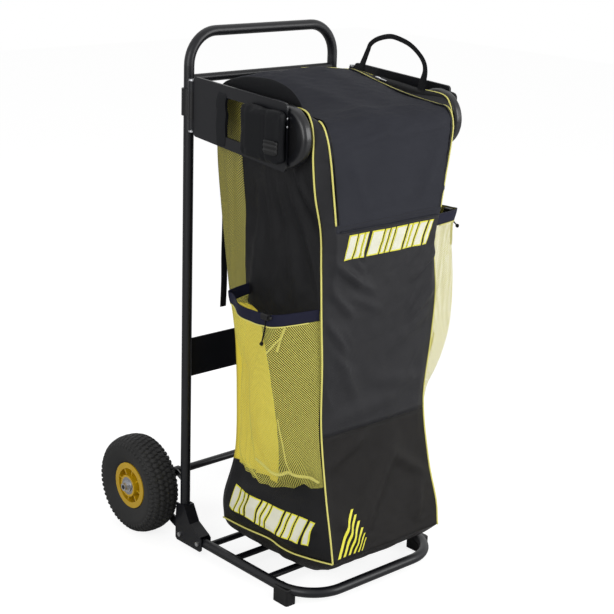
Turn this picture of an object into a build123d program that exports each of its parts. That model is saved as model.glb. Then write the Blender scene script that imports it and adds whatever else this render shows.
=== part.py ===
# Upright two-wheel trolley that carries a tall zipped fabric ball bag.
# Millimetres, +Z up, +X to the right seen from the front, -Y towards the front.
# The origin is on the floor, in the middle of the trolley's plan.
import os
from math import radians, tan

from build123d import *

os.makedirs("parts", exist_ok=True)

# Driving dimensions: steel frame
tube_d = 25.0
tube_wall = 1.5
frame_half_width = 230.0
frame_height = 1316.0
hoop_bend_r = 78.0
upright_foot_z = 52.0
crossbar_d = 20.0
crossbar_drop = 109.0
back_plate_z = 511.0
back_plate_height = 100.0
back_plate_t = 2.5
sheet_t = 3.0

# Foot frame
toe_reach = 475.0
toe_z = 35.0
toe_bend_r = 105.0
toe_tail = 13.0
rung_d = 16.0
rung_wall = 1.5
rung_reaches = (99.0, 197.0, 324.0)
foot_reach = 392.0
foot_length = 52.0
foot_width = 31.0
foot_rise = 42.0

# Foot brackets
bracket_top = 118.0
bracket_top_half = 16.0
bracket_shoulder_reach = 40.0
bracket_shoulder_z = 76.0
bracket_nose_z = 54.0
bracket_low_z = 14.0
bracket_back = 20.0
bracket_reach = 88.0
bracket_corner = 6.0
bolt_d = 8.0
lock_bolt_reach = 74.0
bracket_bolt_z = 34.0

# Axle and wheels
axle_back = 154.0
tyre_r = 130.0
tyre_width = 85.0
tread_edge = 7.0
tread_drop = 12.0
wheel_stand_off = 34.0
axle_d = 20.0
axle_thread_d = 12.0
hub_length = 75.0
hub_r = 29.0
bearing_d = 47.0
bearing_width = 14.0
rim_r = 51.0
rim_wall = 5.0
flange_r = 61.0
flange_t = 3.0
rim_width = 64.0
web_t = 7.0
rib_count = 8
rib_t = 4.0
inner_tube_r = 26.0
inner_tube_wall = 1.5
valve_d = 7.0
valve_reach = 8.0
valve_offset = 12.0
washer_r = 16.0
washer_t = 2.5
hub_nut_across = 19.0
hub_nut_height = 11.0
thread_end = 1.0
stay_t = 4.0
stay_width = 26.0
stay_sag_forward = 52.0
stay_sag_drop = 74.0
brace_axle_x = 142.0
brace_upright_z = 157.0
brace_width = 18.0

# Side arms and their rollers
arm_stand_off = 28.0
arm_t = 6.0
arm_pin_reach = 48.0
arm_pin_d = 10.0
arm_knuckle_r = 9.0
arm_rear_reach = 58.0
arm_front_reach = 386.0
arm_rear_rise = 101.0
arm_front_rise = 83.0
arm_rear_fall = 38.0
arm_front_fall = 69.0
arm_corner_r = 9.0
arm_bar = 27.0
window_rear = 148.0
window_from_front = 36.0
knuckle_height = 25.0
clamp_height = 64.0
clamp_drop = 117.0
clamp_wall = 5.0
roller_from_front = 18.0
roller_rise = 7.0
roller_web_inset = 2.0
roller_edge_r = 10.0
roller_r = 70.0
roller_core_r = 46.0
roller_width = 28.0
roller_pin_d = 10.0
roller_head_r = 8.5
roller_head_t = 3.0
pad_from_front = 10.0
pad_length = 144.0
pad_rise = 69.0
pad_fall = 41.0
pad_t = 27.0
pad_corner_r = 10.0
pad_edge_r = 6.0
buckle_t = 6.0
buckle_length = 34.0
buckle_height = 38.0
buckle_from_front = 30.0
buckle_from_low = 33.0
buckle_slot_length = 22.0
buckle_slot_height = 5.0
buckle_slot_pitch = 12.0

# Fabric bag: half widths at heights, and rear and front reach at heights
fabric_t = 3.0
base_seam_z = 108.0
flap_z = 915.0
side_heights = [(150.0, 20.0), (174.0, 105.0), (179.0, 190.0), (171.0, 290.0), (171.0, 450.0),
                (186.0, 690.0), (184.0, 900.0), (210.0, 1010.0), (216.0, 1090.0), (208.0, 1290.0)]
rear_heights = [(95.0, 1215.0), (80.0, 1050.0), (80.0, 720.0), (128.0, 600.0), (130.0, 290.0),
                (92.0, 170.0), (92.0, 104.0)]
front_heights = [(488.0, 112.0), (480.0, 190.0), (438.0, 420.0), (441.0, 680.0), (458.0, 915.0),
                 (460.0, 1075.0), (425.0, 1168.0)]
belly_front = 470.0
belly_rear = 134.0
belly_inner_x = 140.0
belly_heights = [(1.0, 112.0), (34.0, 150.0), (32.0, 195.0), (14.0, 255.0), (1.0, 310.0)]
base_rear = 112.0
base_front = 425.0
back_seam_z = 1190.0
seam_r = 28.0
board_t = 4.0
board_half_x = 128.0
board_rear = 145.0
board_front = 392.0
hood_half_top = 196.0
hood_half_seam = 162.0
hood_rear = 100.0
pocket_wall = 2.0
pocket_height = 445.0
pocket_top = {"left": 738.0, "right": 903.0}
pocket_bulge = 134.0
pocket_inner_x = 150.0
pocket_wall_x = 176.0
pocket_front = 430.0
pocket_rear = 150.0
pocket_widest_at = 0.207
pocket_bow = [(0.0, 0.0), (0.036, 0.4), (0.107, 0.76), (pocket_widest_at, 1.0), (0.33, 1.0), (0.464, 0.97),
              (0.604, 0.88), (0.793, 0.6), (0.914, 0.35), (1.0, 0.0)]
pocket_fullness = [(0.0, 0.08), (0.2, 0.72), (0.5, 1.0), (0.8, 0.94), (1.0, 0.8)]
lock_thick = 12.0
lock_length = 24.0
lock_height = 15.0
lock_corner_r = 3.5
lock_end_r = 1.5
lock_drop = 20.0
lock_button_d = 8.0
lock_button_out = 7.0
lock_button_in = 11.0
lock_travel = 4.0
cord_d = 3.5
knot_r = 4.5
strap_t = 2.5
loop_strap_width = 20.0
carry_strap_width = 26.0
carry_pad_width = 42.0
carry_pad_t = 13.0
slider_reach = 197.0
slider_length = 14.0
slider_width = 9.0
slider_height = 5.0
pull_length = 26.0
pull_width = 6.0
pull_t = 1.5
tail_width = 20.0
tail_t = 2.0
tail_x = 176.0
tail_top = 985.0
tail_bottom = 655.0

# Clearances
fit_gap = 0.1
running_gap = 0.05
body_gap = 0.3
hole_gap = 0.25
roller_side_gap = 1.0

# Places that follow
tube_r = tube_d / 2
bolt_r = bolt_d / 2
upright_y = (toe_reach + tube_r - axle_back - tyre_r) / 2
axle_y = upright_y + axle_back
axle_z = tyre_r
bag_base_z = toe_z + rung_d / 2 + body_gap
crossbar_z = frame_height - crossbar_drop
clamp_z = frame_height - hoop_bend_r - clamp_drop
arm_rear_top = clamp_z + arm_rear_rise
arm_front_top = clamp_z + arm_front_rise
arm_rear_bottom = clamp_z - arm_rear_fall
arm_front_bottom = clamp_z - arm_front_fall
arm_x = frame_half_width + arm_stand_off
window_front = arm_front_reach - window_from_front
roller_reach = arm_front_reach - roller_from_front
roller_z = clamp_z + roller_rise
pad_front = arm_front_reach - pad_from_front
pad_rear = pad_front - pad_length
pad_top = clamp_z + pad_rise
pad_bottom = clamp_z - pad_fall
bag_span = max(reach for reach, z in front_heights) + seam_r
bag_half_span = max(half for half, z in side_heights) + seam_r
bag_ceiling = side_heights[-1][1]
pocket_widest = pocket_front - pocket_widest_at * (pocket_front - pocket_rear)
wheel_centre_x = frame_half_width + wheel_stand_off
hub_in = wheel_centre_x - hub_length / 2
hub_out = wheel_centre_x + hub_length / 2
sides = {"left": -1, "right": 1}


def fore(reach):
    """The Y of a point that lies this far in front of the uprights."""
    return upright_y - reach


def save(part, name):
    """Label a finished piece and write it to its own STEP file."""
    part.label = name
    export_step(part, f"parts/{name}.step")


def rod(start, end, radius):
    """A plain round rod between two points."""
    axis = Vector(*end) - Vector(*start)
    with BuildPart() as made:
        with BuildSketch(Plane(origin=start, z_dir=axis)):
            Circle(radius)
        extrude(amount=axis.length)
    return made.part


def side_plane(x):
    """A plane that faces +X, with Y and Z as its own X and Y."""
    return Plane(origin=(x, 0, 0), x_dir=(0, 1, 0), z_dir=(1, 0, 0))


def bolt(side_sign, reach, z, inner, outer, radius=bolt_r):
    """A hexagon bolt along X, its head outside and its nut inside."""
    head = 0.65 * 2 * radius
    flats = 1.6 * radius
    point = Plane(origin=(side_sign * inner, fore(reach), z), z_dir=(side_sign, 0, 0))
    with BuildPart() as made:
        with BuildSketch(point.offset(-head)):
            Circle(radius)
        extrude(amount=outer - inner + 2 * head)
        for start in (-head, outer - inner):
            with BuildSketch(point.offset(start)):
                RegularPolygon(flats, 6)
            extrude(amount=head)
    return made.part


# ---- Frame: one bent tube makes both uprights and the push handle
hoop_points = [
    (-frame_half_width, upright_y, upright_foot_z),
    (-frame_half_width, upright_y, frame_height),
    (frame_half_width, upright_y, frame_height),
    (frame_half_width, upright_y, upright_foot_z),
]
with BuildPart() as main_frame:
    with BuildLine() as hoop_path:
        FilletPolyline(*hoop_points, radius=hoop_bend_r)
    with BuildSketch(Plane(origin=hoop_points[0], z_dir=(0, 0, 1))):
        Circle(tube_r)
        Circle(tube_r - tube_wall, mode=Mode.SUBTRACT)
    sweep(path=hoop_path.line)
save(main_frame.part, "main_frame")

upright_skins = [
    rod((s * frame_half_width, upright_y, 0),
        (s * frame_half_width, upright_y, frame_height - hoop_bend_r), tube_r)
    for s in sides.values()
]

with BuildPart() as upper_crossbar:
    with BuildSketch(Plane(origin=(-frame_half_width, upright_y, crossbar_z), z_dir=(1, 0, 0))):
        Circle(crossbar_d / 2)
        Circle(crossbar_d / 2 - tube_wall, mode=Mode.SUBTRACT)
    extrude(amount=2 * frame_half_width)
    for skin in upright_skins:
        add(skin, mode=Mode.SUBTRACT)
save(upper_crossbar.part, "upper_crossbar")

with BuildPart() as back_plate:
    with BuildSketch(Plane(origin=(0, upright_y, back_plate_z), x_dir=(1, 0, 0), z_dir=(0, -1, 0))):
        Rectangle(2 * frame_half_width, back_plate_height)
    extrude(amount=back_plate_t / 2, both=True)
    for skin in upright_skins:
        add(skin, mode=Mode.SUBTRACT)
save(back_plate.part, "back_plate")

# ---- Foot frame: a U tube in line with the uprights, three rungs and two feet
toe_points = [
    (-frame_half_width, fore(-toe_tail), toe_z),
    (-frame_half_width, fore(toe_reach), toe_z),
    (frame_half_width, fore(toe_reach), toe_z),
    (frame_half_width, fore(-toe_tail), toe_z),
]
with BuildPart() as toe_skin:
    with BuildLine() as toe_path:
        FilletPolyline(*toe_points, radius=toe_bend_r)
    with BuildSketch(Plane(origin=toe_points[0], z_dir=(0, -1, 0))):
        Circle(tube_r)
    sweep(path=toe_path.line)
with BuildPart() as toe_bore:
    with BuildLine() as toe_bore_path:
        FilletPolyline(*toe_points, radius=toe_bend_r)
    with BuildSketch(Plane(origin=toe_points[0], z_dir=(0, -1, 0))):
        Circle(tube_r - tube_wall)
    sweep(path=toe_bore_path.line)
with BuildPart() as toe_frame:
    add(toe_skin.part)
    add(toe_bore.part, mode=Mode.SUBTRACT)
    for s in sides.values():
        for reach in (0, lock_bolt_reach):
            across = (s * (frame_half_width - tube_d), fore(reach), bracket_bolt_z)
            along = (s * (frame_half_width + tube_d), fore(reach), bracket_bolt_z)
            add(rod(across, along, bolt_r + hole_gap), mode=Mode.SUBTRACT)
save(toe_frame.part, "toe_frame")

with BuildPart() as toe_rungs:
    for reach in rung_reaches:
        with BuildSketch(Plane(origin=(-frame_half_width, fore(reach), toe_z), z_dir=(1, 0, 0))):
            Circle(rung_d / 2)
            Circle(rung_d / 2 - rung_wall, mode=Mode.SUBTRACT)
        extrude(amount=2 * frame_half_width)
    add(toe_skin.part, mode=Mode.SUBTRACT)
save(toe_rungs.part, "toe_rungs")

with BuildPart() as toe_feet:
    for s in sides.values():
        with BuildSketch(Plane(origin=(s * frame_half_width, fore(foot_reach), 0))):
            RectangleRounded(foot_width, foot_length, 6)
        extrude(amount=foot_rise)
    chamfer(toe_feet.edges().group_by(Axis.Z)[-1], 2.5)
    add(toe_skin.part, mode=Mode.SUBTRACT)
save(toe_feet.part, "toe_feet")

# ---- Foot brackets: a pressed channel that joins upright and foot frame with two bolts
cheek_in = tube_r + fit_gap
cheek_out = cheek_in + sheet_t
stay_x = frame_half_width - cheek_out - stay_t / 2
web_top = [
    (fore(bracket_top_half), bracket_top),
    (fore(bracket_shoulder_reach), bracket_shoulder_z),
    (fore(bracket_reach - bracket_corner), bracket_nose_z),
]
bracket_outline = [(fore(-bracket_top_half), bracket_top)] + web_top + [
    (fore(bracket_reach), bracket_nose_z - bracket_corner),
    (fore(bracket_reach), bracket_low_z + bracket_corner),
    (fore(bracket_reach - bracket_corner), bracket_low_z),
    (fore(bracket_corner - bracket_back), bracket_low_z),
    (fore(-bracket_back), bracket_low_z + bracket_corner),
    (fore(-bracket_back), bracket_shoulder_z),
]
for side, s in sides.items():
    with BuildPart() as foot_bracket:
        for start in (-cheek_out, cheek_in):
            with BuildSketch(side_plane(s * frame_half_width + start)):
                Polygon(*bracket_outline, align=None)
            extrude(amount=sheet_t)
        with BuildSketch(side_plane(s * frame_half_width - cheek_in)):
            with BuildLine():
                Polyline(*web_top, (web_top[2][0], web_top[2][1] - sheet_t),
                         (web_top[1][0] + sheet_t, web_top[1][1] - sheet_t),
                         (web_top[0][0] + sheet_t, web_top[0][1]), close=True)
            make_face()
        extrude(amount=2 * cheek_in)
        for reach in (0, lock_bolt_reach):
            across = (s * (frame_half_width - tube_d), fore(reach), bracket_bolt_z)
            along = (s * (frame_half_width + tube_d), fore(reach), bracket_bolt_z)
            add(rod(across, along, bolt_r + hole_gap), mode=Mode.SUBTRACT)
    save(foot_bracket.part, f"foot_bracket_{side}")

with BuildPart() as frame_bolts:
    for s in sides.values():
        for reach, grip in ((0, cheek_out + stay_t), (lock_bolt_reach, cheek_out)):
            add(bolt(s, reach, bracket_bolt_z, frame_half_width - grip, frame_half_width + cheek_out))
save(frame_bolts.part, "frame_bolts")

# ---- Axle, its stays and nuts
hub_nut_start = hub_out + running_gap + washer_t
thread_tip = hub_nut_start + hub_nut_height + thread_end
with BuildPart() as axle:
    with BuildSketch(Plane(origin=(-hub_out, axle_y, axle_z), z_dir=(1, 0, 0))):
        Circle(axle_d / 2)
    extrude(amount=2 * hub_out)
    with BuildSketch(Plane(origin=(-thread_tip, axle_y, axle_z), z_dir=(1, 0, 0))):
        Circle(axle_thread_d / 2)
    extrude(amount=2 * thread_tip)
    chamfer(axle.edges().filter_by(GeomType.CIRCLE).group_by(Axis.X)[0], 1)
    chamfer(axle.edges().filter_by(GeomType.CIRCLE).group_by(Axis.X)[-1], 1)
save(axle.part, "axle")

with BuildPart() as hub_fasteners:
    for s in sides.values():
        with BuildSketch(Plane(origin=(s * (hub_out + running_gap), axle_y, axle_z), z_dir=(s, 0, 0))):
            Circle(washer_r)
            Circle(axle_thread_d / 2 + fit_gap, mode=Mode.SUBTRACT)
        extrude(amount=washer_t)
        with BuildSketch(Plane(origin=(s * hub_nut_start, axle_y, axle_z), z_dir=(s, 0, 0))):
            RegularPolygon(hub_nut_across / 2, 6, major_radius=False)
            Circle(axle_thread_d / 2, mode=Mode.SUBTRACT)
        extrude(amount=hub_nut_height)
save(hub_fasteners.part, "hub_fasteners")

# A spacer on the axle keeps each hub away from its stay
with BuildPart() as axle_spacers:
    for s in sides.values():
        with BuildSketch(Plane(origin=(s * (stay_x + stay_t / 2), axle_y, axle_z), z_dir=(s, 0, 0))):
            Circle(axle_d / 2 + 3)
            Circle(axle_d / 2 + fit_gap, mode=Mode.SUBTRACT)
        extrude(amount=hub_in - running_gap - stay_x - stay_t / 2)
save(axle_spacers.part, "axle_spacers")

# The stay is a flat strip, curved from the axle down to the pivot bolt of the foot bracket
for side, s in sides.items():
    with BuildPart() as axle_stay:
        with BuildSketch(side_plane(s * stay_x)):
            with BuildLine() as stay_path:
                ThreePointArc((axle_y, axle_z), (axle_y - stay_sag_forward, axle_z - stay_sag_drop),
                              (upright_y, bracket_bolt_z))
            trace(line_width=stay_width)
            with Locations((axle_y, axle_z), (upright_y, bracket_bolt_z)):
                Circle(stay_width / 2)
            with Locations((axle_y, axle_z)):
                Circle(axle_d / 2 + fit_gap, mode=Mode.SUBTRACT)
            with Locations((upright_y, bracket_bolt_z)):
                Circle(bolt_r + hole_gap, mode=Mode.SUBTRACT)
        extrude(amount=stay_t / 2, both=True)
    save(axle_stay.part, f"axle_stay_{side}")

# The brace is a bent strip from a clip on the axle to the inner face of the upright
for side, s in sides.items():
    brace_foot = (s * (frame_half_width - tube_r - sheet_t / 2), upright_y, brace_upright_z)
    brace_head = (s * brace_axle_x, axle_y, axle_z)
    run = Vector(*brace_head) - Vector(*brace_foot)
    with BuildPart() as axle_brace:
        clip_start = (s * (brace_axle_x - brace_width / 2), axle_y, axle_z)
        with BuildSketch(Plane(origin=clip_start, z_dir=(s, 0, 0))):
            Circle(axle_d / 2 + sheet_t)
            Circle(axle_d / 2 + fit_gap, mode=Mode.SUBTRACT)
        extrude(amount=brace_width)
        with BuildSketch(Plane(origin=brace_foot, x_dir=(0, 0, 1), z_dir=run)):
            Rectangle(brace_width, sheet_t)
        extrude(amount=run.length - axle_d / 2 - sheet_t / 2)
        add(rod((s * frame_half_width, upright_y, 0), (s * frame_half_width, upright_y, frame_height / 2),
                tube_r), mode=Mode.SUBTRACT)
        add(rod((-hub_in, axle_y, axle_z), (hub_in, axle_y, axle_z), axle_d / 2 + fit_gap),
            mode=Mode.SUBTRACT)
    save(axle_brace.part, f"axle_brace_{side}")

# ---- Wheels: pneumatic tyre and tube on a ribbed plastic rim with two ball bearings
flange_x = rim_width / 2
tyre_core_r = (flange_r + tyre_r) / 2 - 3
for side, s in sides.items():
    wheel_plane = Plane(origin=(s * wheel_centre_x, axle_y, axle_z), x_dir=(s, 0, 0), z_dir=(0, -s, 0))
    wheel_axis = Axis((0, axle_y, axle_z), (1, 0, 0))

    with BuildPart() as rim:
        with BuildSketch(wheel_plane):
            with BuildLine():
                Polyline(
                    (-hub_length / 2, 0), (-hub_length / 2, hub_r), (-web_t / 2, hub_r + 2),
                    (-web_t / 2, rim_r - rim_wall),
                    (-flange_x, rim_r - rim_wall), (-flange_x, flange_r), (flange_t - flange_x, flange_r),
                    (flange_t - flange_x, rim_r),
                    (flange_x - flange_t, rim_r), (flange_x - flange_t, flange_r),
                    (flange_x, flange_r), (flange_x, rim_r - rim_wall), (web_t / 2, rim_r - rim_wall),
                    (web_t / 2, hub_r + 2), (hub_length / 2, hub_r), (hub_length / 2, 0), close=True)
            make_face()
        revolve(axis=wheel_axis)
        rib_plane = Plane(origin=(s * wheel_centre_x, axle_y, axle_z), x_dir=(0, 1, 0), z_dir=(1, 0, 0))
        with BuildSketch(rib_plane):
            with PolarLocations((rim_r + hub_r - rim_wall) / 2 + 0.5, rib_count, start_angle=12):
                Rectangle(rim_r - hub_r - rim_wall + 3, rib_t)
        extrude(amount=flange_x - flange_t, both=True)
        with BuildSketch(rib_plane.offset(-hub_length / 2)):
            Circle(axle_d / 2 + 3)
        extrude(amount=hub_length, mode=Mode.SUBTRACT)
        for start in (-hub_length / 2, hub_length / 2 - bearing_width):
            with BuildSketch(rib_plane.offset(start)):
                Circle(bearing_d / 2)
            extrude(amount=bearing_width, mode=Mode.SUBTRACT)
        valve_x = s * (wheel_centre_x + valve_offset)
        valve_tip = (valve_x, axle_y, axle_z - rim_r + rim_wall + valve_reach)
        add(rod(valve_tip, (valve_x, axle_y, axle_z - flange_r), valve_d / 2 + fit_gap), mode=Mode.SUBTRACT)
    save(rim.part, f"rim_{side}")

    with BuildPart() as bearings:
        for start in (-hub_length / 2, hub_length / 2 - bearing_width):
            with BuildSketch(rib_plane.offset(start)):
                Circle(bearing_d / 2)
                Circle(axle_d / 2 + running_gap, mode=Mode.SUBTRACT)
            extrude(amount=bearing_width)
    save(bearings.part, f"bearings_{side}")

    seat_r = rim_r + fit_gap
    bead_x = flange_x - flange_t - fit_gap
    with BuildPart() as tyre:
        with BuildSketch(wheel_plane):
            with BuildLine():
                Line((-bead_x, seat_r), (bead_x, seat_r))
                Line((bead_x, seat_r), (bead_x, flange_r + 2))
                wall_out = ThreePointArc((bead_x, flange_r + 2), (tyre_width / 2, tyre_core_r + 4),
                                         (tyre_width / 2 - tread_edge, tyre_r - tread_drop))
                crown = ThreePointArc(wall_out @ 1, (0, tyre_r),
                                      (tread_edge - tyre_width / 2, tyre_r - tread_drop))
                ThreePointArc(crown @ 1, (-tyre_width / 2, tyre_core_r + 4), (-bead_x, flange_r + 2))
                Line((-bead_x, flange_r + 2), (-bead_x, seat_r))
            make_face()
            with Locations((0, tyre_core_r)):
                Circle(inner_tube_r, mode=Mode.SUBTRACT)
        revolve(axis=wheel_axis)
    save(tyre.part, f"tyre_{side}")

    with BuildPart() as inner_tube:
        with BuildSketch(wheel_plane):
            with Locations((0, tyre_core_r)):
                Circle(inner_tube_r - fit_gap)
                Circle(inner_tube_r - fit_gap - inner_tube_wall, mode=Mode.SUBTRACT)
        revolve(axis=wheel_axis)
    save(inner_tube.part, f"inner_tube_{side}")

    with BuildPart() as valve:
        add(rod((valve_x, axle_y, axle_z - rim_r), valve_tip, valve_d / 2))
    save(valve.part, f"valve_{side}")

# ---- Side arms: a gate hinged on a clamp round each upright, with a roller at its free end
pin_y = fore(arm_pin_reach)
knuckle_low = clamp_z - body_gap - knuckle_height
knuckle_high = clamp_z + clamp_height + body_gap
pin_hole_r = arm_pin_d / 2 + running_gap
for side, s in sides.items():
    hinge_x = s * arm_x
    clamp_to_pin = Vector(hinge_x - s * frame_half_width, -arm_pin_reach, 0)

    clamp_base = Plane(origin=(s * frame_half_width, upright_y, clamp_z))
    with BuildPart() as hinge_bracket:
        with BuildSketch(clamp_base):
            Circle(tube_r + fit_gap + clamp_wall)
        extrude(amount=clamp_height)
        with BuildSketch(Plane(origin=clamp_base.origin, x_dir=clamp_to_pin, z_dir=(0, 0, 1))):
            with Locations((clamp_to_pin.length / 2, 0)):
                Rectangle(clamp_to_pin.length, arm_knuckle_r)
            with Locations((clamp_to_pin.length, 0)):
                Circle(arm_knuckle_r)
        extrude(amount=clamp_height)
        with BuildSketch(clamp_base):
            Circle(tube_r + fit_gap)
        extrude(amount=clamp_height, mode=Mode.SUBTRACT)
        with BuildSketch(Plane(origin=(hinge_x, pin_y, clamp_z))):
            Circle(arm_pin_d / 2 + fit_gap)
        extrude(amount=clamp_height, mode=Mode.SUBTRACT)
    save(hinge_bracket.part, f"hinge_bracket_{side}")

    with BuildPart() as arm_frame:
        with BuildSketch(side_plane(s * (arm_x - arm_t / 2))) as gate:
            Polygon((fore(arm_rear_reach), arm_rear_top), (fore(arm_front_reach), arm_front_top),
                    (fore(arm_front_reach), arm_front_bottom), (fore(arm_rear_reach), arm_rear_bottom),
                    align=None)
            fillet(gate.vertices(), arm_corner_r)
            slope_top = (arm_rear_top - arm_front_top) / (arm_front_reach - arm_rear_reach)
            slope_low = (arm_rear_bottom - arm_front_bottom) / (arm_front_reach - arm_rear_reach)
            window = [(fore(reach), top - slope * (reach - arm_rear_reach) + shift)
                      for reach, top, slope, shift in (
                          (window_rear, arm_rear_top, slope_top, -arm_bar),
                          (window_front, arm_rear_top, slope_top, -arm_bar),
                          (window_front, arm_rear_bottom, slope_low, arm_bar),
                          (window_rear, arm_rear_bottom, slope_low, arm_bar))]
            Polygon(*window, align=None, mode=Mode.SUBTRACT)
        extrude(amount=s * arm_t)
        for low in (knuckle_low, knuckle_high):
            with BuildSketch(Plane(origin=(hinge_x, pin_y, low))):
                Circle(arm_knuckle_r)
                with Locations((0, -arm_knuckle_r)):
                    Rectangle(arm_t, 2 * arm_knuckle_r)
            extrude(amount=knuckle_height)
            with BuildSketch(Plane(origin=(hinge_x, pin_y, low))):
                Circle(pin_hole_r)
            extrude(amount=knuckle_height, mode=Mode.SUBTRACT)
        pin_bore = rod((s * (arm_x - arm_t), fore(roller_reach), roller_z),
                       (s * (arm_x + arm_t), fore(roller_reach), roller_z), roller_pin_d / 2)
        add(pin_bore, mode=Mode.SUBTRACT)
    save(arm_frame.part, f"arm_frame_{side}")

    roller_inner = arm_x - arm_t / 2 - roller_side_gap - roller_width
    pin_start = (s * (roller_inner - roller_side_gap), fore(roller_reach), roller_z)
    with BuildPart() as roller_pin:
        with BuildSketch(Plane(origin=pin_start, z_dir=(s, 0, 0))):
            Circle(roller_pin_d / 2)
        extrude(amount=arm_x + arm_t / 2 - roller_inner + roller_side_gap)
        with BuildSketch(Plane(origin=pin_start, z_dir=(-s, 0, 0))):
            Circle(roller_head_r)
        extrude(amount=roller_head_t)
    save(roller_pin.part, f"roller_pin_{side}")

    roller_plane = Plane(origin=(s * roller_inner, fore(roller_reach), roller_z), z_dir=(s, 0, 0))
    with BuildPart() as roller_core:
        with BuildSketch(roller_plane.offset(roller_web_inset)):
            Circle(roller_core_r)
        extrude(amount=roller_width - 2 * roller_web_inset)
        with BuildSketch(roller_plane):
            Circle(arm_knuckle_r + 3)
        extrude(amount=roller_width)
        with BuildSketch(roller_plane):
            Circle(roller_pin_d / 2 + running_gap)
        extrude(amount=roller_width, mode=Mode.SUBTRACT)
    save(roller_core.part, f"roller_core_{side}")

    with BuildPart() as roller_tread:
        with BuildSketch(roller_plane):
            Circle(roller_r)
            Circle(roller_core_r + fit_gap, mode=Mode.SUBTRACT)
        extrude(amount=roller_width)
        fillet(roller_tread.edges().filter_by(GeomType.CIRCLE).sort_by(SortBy.RADIUS)[-2:], roller_edge_r)
    save(roller_tread.part, f"roller_tread_{side}")

    with BuildPart() as arm_pad:
        with BuildSketch(side_plane(s * (arm_x + arm_t / 2))) as pad_face:
            Polygon((fore(pad_rear), pad_top), (fore(pad_front), pad_top), (fore(pad_front), pad_bottom),
                    (fore(pad_rear), pad_bottom), align=None)
            fillet(pad_face.vertices(), pad_corner_r)
        extrude(amount=s * pad_t)
        fillet(arm_pad.faces().sort_by(Axis.X)[0 if s < 0 else -1].edges(), pad_edge_r)
    save(arm_pad.part, f"arm_pad_{side}")

    with BuildPart() as arm_buckle:
        with BuildSketch(side_plane(s * (arm_x + arm_t / 2 + pad_t))):
            with Locations((fore(pad_front - buckle_from_front), pad_bottom + buckle_from_low)):
                RectangleRounded(buckle_length, buckle_height, buckle_t)
                with GridLocations(0, buckle_slot_pitch, 1, 2):
                    Rectangle(buckle_slot_length, buckle_slot_height, mode=Mode.SUBTRACT)
        extrude(amount=s * buckle_t)
    save(arm_buckle.part, f"arm_buckle_{side}")

with BuildPart() as hinge_pins:
    for s in sides.values():
        pin_low = knuckle_low - 2
        with BuildSketch(Plane(origin=(s * arm_x, pin_y, pin_low))):
            Circle(arm_pin_d / 2)
        extrude(amount=clamp_height + 2 * (knuckle_height + body_gap) + 4)
        for low in (pin_low - 3, knuckle_high + knuckle_height + body_gap):
            with BuildSketch(Plane(origin=(s * arm_x, pin_y, low))):
                Circle(arm_knuckle_r - 1)
            extrude(amount=4)
save(hinge_pins.part, "hinge_pins")

# ---- Bag: an upright body from two crossed profiles, cut into its sewn panels
def profile(points, inset=0.0):
    """A closed face through the points, its corners rounded, drawn in by an inset."""
    with BuildSketch(Plane.XY) as made:
        with BuildLine():
            FilletPolyline(*points, radius=seam_r, close=True)
        make_face()
        if inset:
            offset(amount=-inset, kind=Kind.INTERSECTION)
    return made.sketch


def across_bag(sketch):
    """Extrude a profile of (X, Z) points from front to rear."""
    with BuildPart() as made:
        with BuildSketch(Plane(origin=(0, upright_y, 0), x_dir=(1, 0, 0), z_dir=(0, -1, 0))):
            add(sketch)
        extrude(amount=bag_span)
    return made.part


def along_bag(sketch):
    """Extrude a profile of (Y, Z) points from left to right."""
    with BuildPart() as made:
        with BuildSketch(side_plane(0)):
            add(sketch)
        extrude(amount=bag_half_span, both=True)
    return made.part


def side_half_width(z):
    """The bag's half width at a height, between the two named heights round it."""
    for (low_half, low_z), (high_half, high_z) in zip(side_heights, side_heights[1:]):
        if low_z <= z <= high_z:
            return low_half + (high_half - low_half) * (z - low_z) / (high_z - low_z)
    return side_heights[-1][0]


def block(x_low, x_high, reach_low, reach_high, z_low, z_high):
    """A plain box between two X values, two reaches and two heights."""
    with BuildPart() as made:
        with BuildSketch(Plane.XY.offset(z_low)):
            with Locations(((x_low + x_high) / 2, (fore(reach_low) + fore(reach_high)) / 2)):
                Rectangle(x_high - x_low, reach_high - reach_low)
        extrude(amount=z_high - z_low)
    return made.part


girth_points = [(-half, z) for half, z in side_heights] + [(half, z) for half, z in reversed(side_heights)]
depth_points = ([(fore(reach), z) for reach, z in rear_heights] + [(fore(base_rear), bag_base_z)]
                + [(fore(base_front), bag_base_z)] + [(fore(reach), z) for reach, z in front_heights])
girth = across_bag(profile(girth_points))
girth_inside = across_bag(profile(girth_points, fabric_t))
depth = along_bag(profile(depth_points))
depth_inside = along_bag(profile(depth_points, fabric_t))
top_slope = (rear_heights[0][1] - front_heights[-1][1]) / (front_heights[-1][0] - rear_heights[0][0])



def belly_form(sign, inset):
    """The low swell of a bag side, lofted through plan sections that bow out between its ends."""
    front = belly_front - inset
    rear = belly_rear + inset
    with BuildPart() as made:
        for swell, z in belly_heights:
            wall_x = side_half_width(z) - inset
            with BuildSketch(Plane.XY.offset(z)):
                with BuildLine():
                    Spline((sign * wall_x, fore(front)),
                           (sign * (wall_x + 0.75 * swell), fore(front + 0.25 * (rear - front))),
                           (sign * (wall_x + swell), fore((front + rear) / 2)),
                           (sign * (wall_x + 0.75 * swell), fore(rear + 0.25 * (front - rear))),
                           (sign * wall_x, fore(rear)))
                    Polyline((sign * wall_x, fore(rear)), (sign * belly_inner_x, fore(rear)),
                             (sign * belly_inner_x, fore(front)), (sign * wall_x, fore(front)))
                make_face()
        loft(ruled=True)
    return made.part


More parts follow.
